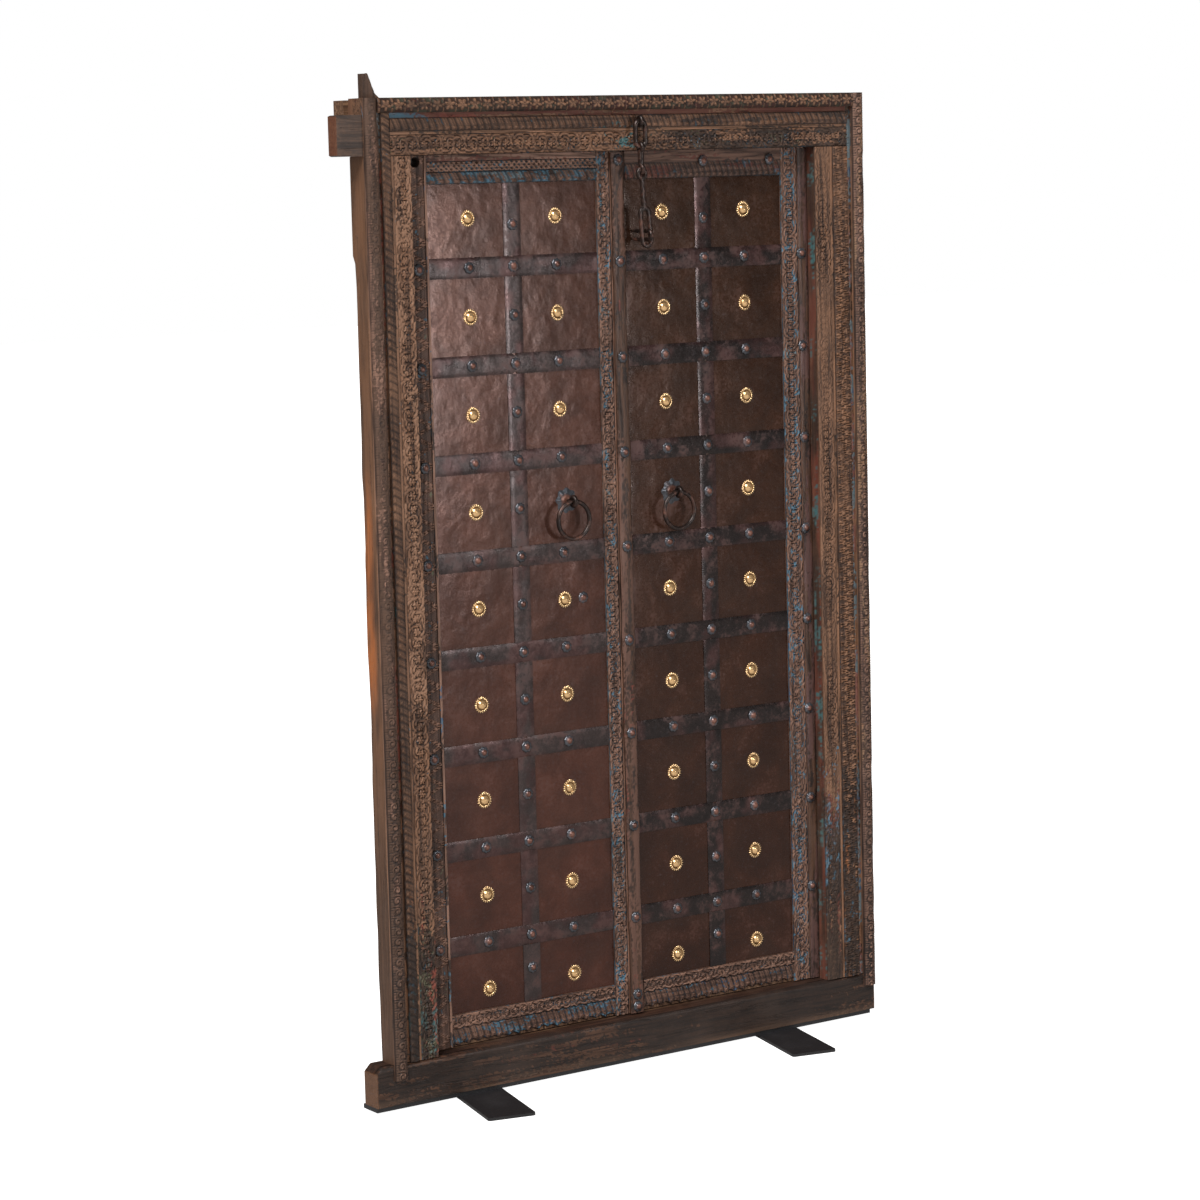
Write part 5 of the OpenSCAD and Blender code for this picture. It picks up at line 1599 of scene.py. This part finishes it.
class DOOR_OT_cladding(bpy.types.Operator):
    """Lay the iron sheets and the straps on both leaves"""

    bl_idname = "door.cladding"
    bl_label = "Clad Leaves"

    def execute(self, context):
        iron, colours = context.scene.door_iron, context.scene.door_colours
        for side in (LEFT, RIGHT):
            self.sheets(side, iron, colours)
            self.straps(side, "cross", colours)
            self.straps(side, "upright", colours)
        return {"FINISHED"}

    def sheets(self, side, iron, colours):
        """A leaf's iron sheets, swollen, dented and drawn up to the upright strap."""
        base = np.array(colours.sheet_left if side == LEFT else colours.sheet_right)
        boxes = solids_mm(f"{side}_sheets")
        top, foot = boxes[0][1][2], boxes[-1][0][2]
        draw_rise, draw_width = 2.2, 24
        strap = min(box[0][0] for box in boxes) + max(box[1][0] for box in boxes)
        shells = []
        for number, (low, high) in enumerate(boxes):
            drop = 1 - (low[2] - foot) / (top - foot)
            tone = base * (1.12 - 0.30 * drop) * (0.92 + 0.16 * noise(
                np.array(number * 1.7), np.array(3.1), 171))
            tone = tone * np.array([1 + 0.10 * drop, 1 - 0.20 * drop, 1 - 0.30 * drop])
            along = stations(low[2], high[2], 7.0)

            def pillowed(grid, relief, tint, low=low, high=high, number=number, tone=tone):
                u, y, v = axes(grid)
                across = np.clip((u - low[0]) / (high[0] - low[0]), 0, 1)
                up = np.clip((v - low[2]) / (high[2] - low[2]), 0, 1)
                swell = (np.sin(np.pi * across) * np.sin(np.pi * up)) ** 0.6
                bumps = rough(u / 38 + number, v / 38, 173) - 0.45
                small = rough(u / 13, v / 13 + number, 174) - 0.45
                on_front = y < low[1] + 0.7
                to_strap = high[0] - u if low[0] + high[0] < strap else u - low[0]
                drawn = draw_rise * ramp(to_strap, draw_width, 0) ** 2
                dented = iron.dents * (1.3 * bumps + 0.5 * small)
                rise = drawn + (iron.bulge * swell + dented * swell) / MM
                grid[..., 1] = np.where(on_front, np.minimum(y - rise, high[1] - 0.3), y)
                cloud = 0.86 + 0.3 * rough(u / 55, v / 55 + number, 175)
                tint = np.concatenate([tone * cloud[..., None], np.ones_like(cloud)[..., None]], -1)
                return grid, relief, tint

            shells.append(swept([band(low[0], high[0], low[1], cell=3.6)],
                                rear(low, high, 0), along, upright, 1, 0.0,
                                side_cell=400.0, shape=pillowed, waver=0.0))
        add_piece(f"{side}_sheets_dented", joined(*shells), f"{side}_leaf",
                  sheet_iron(colours), [f"{side}_sheets"])

    def straps(self, side, kind, colours):
        """The upright or cross straps of a leaf, with hammered edges."""
        crosswise = kind == "cross"
        dark = np.array(colours.strap)
        # On the left leaf the straps' colour is made 2 to 2.4 times lighter, a painted highlight
        # for the sheen those straps catch.
        if side == LEFT:
            dark = dark * (2.0 if crosswise else 2.4)
        shells = []
        for number, (low, high) in enumerate(solids_mm(f"{side}_{kind}_straps")):
            place = level if crosswise else upright
            across = (low[2], high[2]) if crosswise else (low[0], high[0])
            span = (low[0], high[0]) if crosswise else (low[2], high[2])
            along = stations(*span, 6.0)

            def hammered(grid, relief, tint, low=low, high=high, across=across, span=span,
                         number=number):
                u, y, v = axes(grid)
                side_share = np.abs((u - across[0]) / (across[1] - across[0]) * 2 - 1)
                on_front = y < low[1] + 0.9
                bend = 1.1 * (rough(v / 60 + number, u * 0, 181) - 0.35)
                y = np.where(on_front, y + 1.1 * side_share ** 6 + bend, y)
                bow = 0.8 * (rough(v / 90, u * 0 + number, 182) - 0.5)
                near_end = ramp(np.minimum(v - span[0], span[1] - v), 0, 20)
                grid = np.stack([u + bow * near_end * (1 if crosswise else 0.6), y, v], -1)
                cloud = rough(u / 30 + 3 * number, v / 48, 183)
                rusty = ramp(cloud, 0.46, 0.66)[..., None]
                tone = dark * (1 - rusty) + np.array((0.075, 0.036, 0.033)) * rusty
                tint = np.concatenate([tone * (0.8 + 0.5 * rough(u / 9, v / 14, 184)[..., None]),
                                       np.ones(u.shape + (1,))], -1)
                return grid, relief, tint

            shells.append(swept([band(*across, low[1], cell=4.5)],
                                [(across[1], high[1]), (across[0], high[1])], along, place, 1, 0.0,
                                side_cell=400.0, shape=hammered, waver=0.0))
        add_piece(f"{side}_{kind}_straps_hammered", joined(*shells), f"{side}_leaf",
                  strap_iron(colours), [f"{side}_{kind}_straps"])


class DOOR_OT_studs(bpy.types.Operator):
    """Scatter the iron studs and the brass florets"""

    bl_idname = "door.studs"
    bl_label = "Scatter Studs"

    def execute(self, context):
        iron, colours = context.scene.door_iron, context.scene.door_colours
        radius, rise = 12.5, 7.0
        stud = lathe([(radius, 0.0, 1), (radius, 1.4, 1), (0.80 * radius, 3.2, 1),
                      (0.62 * radius, 3.4, 0.8),
                      (0.50 * radius, 3.6, 0.2), (0.44 * radius, 5.2, 0), (0.22 * radius, 6.4, 0)],
                     3 * iron.stud_petals, 0.14, iron.stud_petals)
        floret_r, floret_rise = 17.0, 6.6
        floret = lathe([(floret_r, -2.0, 1), (floret_r, 0.8, 1), (0.82 * floret_r, 1.7, 0.7),
                        (0.72 * floret_r, 1.2, 0.2), (0.60 * floret_r, 0.4, 0),
                        (0.52 * floret_r, 1.8, 0),
                        (0.44 * floret_r, 3.6, 0), (0.32 * floret_r, 4.9, 0),
                        (0.19 * floret_r, 5.3, 0),
                        (0.14 * floret_r, 6.1, 0), (0.07 * floret_r, 6.5, 0)],
                       4 * iron.floret_flutes, 0.17, iron.floret_flutes)
        for side in (LEFT, RIGHT):
            for kind in ("strap", "edge"):
                node = f"{side}_{kind}_studs"
                places = stud_places(node, rise)
                if node == "left_strap_studs":
                    places.append(self.spare_place())
                scatter(f"{side}_{kind}_rosettes", places, stud, stud_iron(colours),
                        f"{side}_leaf", [node], iron.seed, iron.tilt)
            node = f"{side}_florets"
            scatter(f"{side}_brass_florets", stud_places(node, floret_rise), floret,
                    bpy.data.materials.get("Brass") or brass_material(colours),
                    f"{side}_leaf", [node], iron.seed + 1, iron.tilt)
        return {"FINISHED"}

    def spare_place(self):
        """A lone stud to the right of the left leaf's middle floret."""
        florets = sorted(solids_mm("left_florets"), key=lambda box: (box[0][2], box[0][0]))
        half_sheet, middle_row, beside = 60, 4, 46
        second = [box for box in florets if box[0][0] > florets[0][0][0] + half_sheet]
        middle = second[middle_row]
        centre = (middle[0] + middle[1]) / 2
        return ((centre[0] + beside) * MM, box_mm("left_sheets")[0][1] * MM, centre[2] * MM)


class DOOR_OT_pulls(bpy.types.Operator):
    """Forge the ring pulls and their petalled plates"""

    bl_idname = "door.pulls"
    bl_label = "Forge Pulls"

    def execute(self, context):
        iron, colours = context.scene.door_iron, context.scene.door_colours
        for side in (LEFT, RIGHT):
            self.ring(side, iron, colours)
            self.plate(side, colours)
        return {"FINISHED"}

    def ring(self, side, iron, colours):
        """A round bar bent to a ring, with the marks of the hammer."""
        low, high = box_mm(f"{side}_ring")
        centre = (low + high) / 2
        bar_r = (high[1] - low[1]) / 2
        ring_r = (high[0] - low[0]) / 2 - bar_r
        turns, around = 112, 18
        a = np.linspace(0, 2 * np.pi, turns, endpoint=False)
        b = np.linspace(0, 2 * np.pi, around, endpoint=False)
        ring, tube = np.meshgrid(a, b, indexing="ij")
        marks = rough(ring * 9, np.cos(tube) * 2 + 5, 191) + rough(ring * 4, np.sin(tube) * 2 + 9,
                                                                   192)
        radius = bar_r - iron.hammer / MM * marks
        out = ring_r + radius * np.cos(tube)
        points = np.stack([centre[0] + out * np.cos(ring), centre[1] + radius * np.sin(tube),
                           centre[2] + out * np.sin(ring)], -1).reshape(-1, 3)
        index = np.arange(turns * around).reshape(turns, around)
        up, on = np.roll(index, -1, 0), np.roll(index, -1, 1)
        faces = np.stack([index, up, np.roll(up, -1, 1), on], -1).reshape(-1, 4).tolist()
        shell = outwards(points, faces)
        blank = np.full(len(points), 0.8)
        add_piece(f"{side}_ring_forged", (shell, blank, np.zeros((len(points), 4))), f"{side}_pull",
                  forged_iron(colours), [f"{side}_ring"])

    def plate(self, side, colours):
        """The petalled plate behind a ring pull."""
        low, high = box_mm(f"{side}_ring_plate")
        radius = (high[0] - low[0]) / 2
        shape = lathe([(radius, 0.0, 1), (radius, 1.3, 1), (0.86 * radius, 2.6, 1),
                       (0.62 * radius, 3.8, 0.8), (0.46 * radius, 4.6, 0.3),
                       (0.40 * radius, 6.4, 0),
                       (0.30 * radius, 7.6, 0), (0.16 * radius, 7.7, 0)], 48, 0.12, 8)
        middle = (low + high) / 2
        place = (middle[0] * MM, high[1] * MM, middle[2] * MM)
        scatter(f"{side}_ring_plate_petalled", [place], shape, stud_iron(colours), f"{side}_leaf",
                [f"{side}_ring_plate"], 3, 0.0)


class DOOR_OT_chain(bpy.types.Operator):
    """Forge the chain, its staples and the eyes of the pulls"""

    bl_idname = "door.chain"
    bl_label = "Forge Chain"

    def execute(self, context):
        iron, colours = context.scene.door_iron, context.scene.door_colours
        for node, body in (("chain_staple", "frame"), ("chain_loop", "loop"),
                           ("chain_twist", "twist"),
                           ("chain_hasp", "hasp"), ("hasp_staple", "right_leaf"),
                           ("left_ring_eye", "left_leaf"), ("right_ring_eye", "right_leaf")):
            self.forge(node, body, iron, colours)
        return {"FINISHED"}

    def forge(self, node, body, iron, colours):
        """A merged copy of the node, beaten rough and thickened where it hangs free."""
        copy = linked("Copy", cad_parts[node].data.copy())
        shape = bmesh.new()
        shape.from_mesh(copy.data)
        bmesh.ops.remove_doubles(shape, verts=shape.verts, dist=1e-6)
        shape.to_mesh(copy.data)
        shape.free()
        remesh = copy.modifiers.new("Remesh", "REMESH")
        remesh.mode, remesh.voxel_size = "VOXEL", VOXEL
        graph = bpy.context.evaluated_depsgraph_get()
        mesh = bpy.data.meshes.new_from_object(copy.evaluated_get(graph), depsgraph=graph)
        bpy.data.objects.remove(copy)
        count = len(mesh.vertices)
        points, normals = np.empty(3 * count), np.empty(3 * count)
        mesh.vertices.foreach_get("co", points)
        mesh.vertices.foreach_get("normal", normals)
        points, normals = points.reshape(-1, 3), normals.reshape(-1, 3)
        cells = points / MM
        beaten = rough(cells[:, 0] / 7 + cells[:, 1] / 9, cells[:, 2] / 8, 201)
        grow = iron.chain_swell * ramp(-points[:, 1] / MM, -8, 4)
        points = points + normals * (grow + 4 * iron.hammer * (beaten - 0.5))[:, None]
        mesh.vertices.foreach_set("co", points.ravel())
        mesh.shade_smooth()
        mesh.materials.clear()
        mesh.materials.append(forged_iron(colours))
        settle(linked(f"{node}_forged", mesh), body, [node])


class DOOR_OT_dress(bpy.types.Operator):
    """Give the plain timbers and the stand their finishes"""

    bl_idname = "door.dress"
    bl_label = "Dress Plain Parts"

    def execute(self, context):
        colours = context.scene.door_colours
        black = black_material(colours)
        dress([
            (["pivot_sill", "pivot_beam"], timber("plain", "X", colours)),
            (["frame_pegs"], timber("plain", "Y", colours)),
            (["left_planks", "right_planks"], timber("plain", "Z", colours)),
            (["left_ledges", "right_ledges"], timber("plain", "X", colours)),
            (["base_strip", "base_screws", "left_foot", "right_foot"], black)])
        return {"FINISHED"}


# ---------- stage ----------


class DOOR_OT_stage(bpy.types.Operator):
    """Set the floor, the lights and the camera"""

    bl_idname = "door.stage"
    bl_label = "Set Stage"

    def execute(self, context):
        stage, colours = context.scene.door_stage, context.scene.door_colours
        self.floor(stage, colours)
        self.camera(stage)
        self.lights(stage)
        self.room(stage)
        context.scene.view_settings.view_transform = "Standard"
        return {"FINISHED"}

    def floor(self, stage, colours):
        material, surface, w, coordinates = new_material("Studio floor", 0.8)
        cloud = w.noise(coordinates, 2.0, 3, 0.5)
        tone = tuple(colours.floor)
        w.put(w.mix(cloud, tone, tuple(0.985 * c for c in tone)), surface.inputs["Base Color"])
        surface.inputs["Emission Color"].default_value = (1, 1, 1, 1)
        seen = w.node("ShaderNodeLightPath").outputs["Is Camera Ray"]
        w.put(w.math("MULTIPLY", seen, stage.floor_glow), surface.inputs["Emission Strength"])
        reach, drop = 30.0, 0.0005
        mesh = bpy.data.meshes.new("Floor")
        mesh.from_pydata([(-reach, -reach, -drop), (reach, -reach, -drop), (reach, reach, -drop),
                          (-reach, reach, -drop)], [], [(0, 1, 2, 3)])
        mesh.materials.append(material)
        ground = linked("Floor", mesh)

    def camera(self, stage):
        data = bpy.data.cameras.new("Camera")
        data.lens, data.sensor_width = stage.lens, 36
        camera = linked("Camera", data)
        yaw, pitch, roll = stage.yaw, stage.pitch, stage.roll
        right = Vector((math.cos(yaw), -math.sin(yaw), 0))
        ahead = Vector((math.sin(yaw) * math.cos(pitch), math.cos(yaw) * math.cos(pitch),
                        -math.sin(pitch)))
        up = right.cross(ahead)
        across = math.cos(roll) * right + math.sin(roll) * up
        above = math.cos(roll) * up - math.sin(roll) * right
        turned = Matrix((across, above, -ahead)).transposed().to_4x4()
        camera.matrix_world = Matrix.Translation(Vector(stage.place)) @ turned
        bpy.context.scene.camera = camera

    def lights(self, stage):
        def area(name, place, aim, size, power, tint):
            data = bpy.data.lights.new(name, "AREA")
            data.shape, data.size, data.size_y = "RECTANGLE", size[0], size[1]
            data.energy, data.color = power, tint
            lamp = linked(name, data)
            lamp.location = place
            lamp.rotation_euler = (Vector(aim) - Vector(place)).to_track_quat("-Z", "Y").to_euler()

        area("Key light", place=(-3.4, -4.6, 3.4), aim=(0, 0, 1.1), size=(2.6, 2.2),
             power=stage.key_power, tint=(1, 0.93, 0.85))
        area("Side light", place=(1.35, -4.1, 1.45), aim=(-0.25, 0, 1.4), size=(0.32, 1.2),
             power=stage.side_power, tint=(0.96, 0.98, 1))
        data = bpy.data.lights.new("Overhead light", "SUN")
        data.energy, data.angle = stage.sun, stage.sun_spread
        lamp = linked("Overhead light", data)
        falls = Vector((0.78, 0.50, -1.0))
        lamp.rotation_euler = falls.to_track_quat("-Z", "Y").to_euler()

    def room(self, stage):
        """A white backdrop, with a dimmer room for the light and the reflections."""
        world = bpy.data.worlds.new("Studio")
        world.use_nodes = True
        w = Wires(world.node_tree)
        path = w.node("ShaderNodeLightPath")
        strength = w.math("MULTIPLY_ADD", path.outputs["Is Glossy Ray"], stage.mirrored - stage.sky,
                          stage.sky)
        strength = w.math("MULTIPLY_ADD", path.outputs["Is Camera Ray"], 1 - stage.sky, strength)
        sky = world.node_tree.nodes["Background"]
        sky.inputs["Color"].default_value = (1, 1, 1, 1)
        w.put(strength, sky.inputs["Strength"])
        bpy.context.scene.world = world


# ---------- add-on ----------

OPERATORS = (DOOR_OT_frame, DOOR_OT_leaves, DOOR_OT_cladding, DOOR_OT_studs, DOOR_OT_pulls,
             DOOR_OT_chain, DOOR_OT_dress, DOOR_OT_stage)


class DOOR_PT_panel(bpy.types.Panel):
    """Lists the steps that finish the door"""

    bl_idname = "DOOR_PT_panel"
    bl_label = "Carved Door"
    bl_space_type = "VIEW_3D"
    bl_region_type = "UI"
    bl_category = "Carved Door"

    def draw(self, context):
        for operator in OPERATORS:
            self.layout.operator(operator.bl_idname)
        for group_name in ("door_carving", "door_iron", "door_colours", "door_stage"):
            settings = getattr(context.scene, group_name)
            box = self.layout.box()
            for key in settings.__annotations__:
                box.prop(settings, key)


CLASSES = (DoorCarving, DoorIron, DoorColours, DoorStage, *OPERATORS, DOOR_PT_panel)


def register():
    for made in CLASSES:
        bpy.utils.register_class(made)
    scene = bpy.types.Scene
    scene.door_carving = PointerProperty(type=DoorCarving)
    scene.door_iron = PointerProperty(type=DoorIron)
    scene.door_colours = PointerProperty(type=DoorColours)
    scene.door_stage = PointerProperty(type=DoorStage)


def unregister():
    scene = bpy.types.Scene
    del scene.door_carving, scene.door_iron, scene.door_colours, scene.door_stage
    for made in reversed(CLASSES):
        bpy.utils.unregister_class(made)


def main():
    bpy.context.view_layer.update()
    register()
    bpy.ops.door.frame()
    bpy.ops.door.leaves()
    bpy.ops.door.cladding()
    bpy.ops.door.studs()
    bpy.ops.door.pulls()
    bpy.ops.door.chain()
    bpy.ops.door.dress()
    bpy.ops.door.stage()


if __name__ == "__main__":
    main()
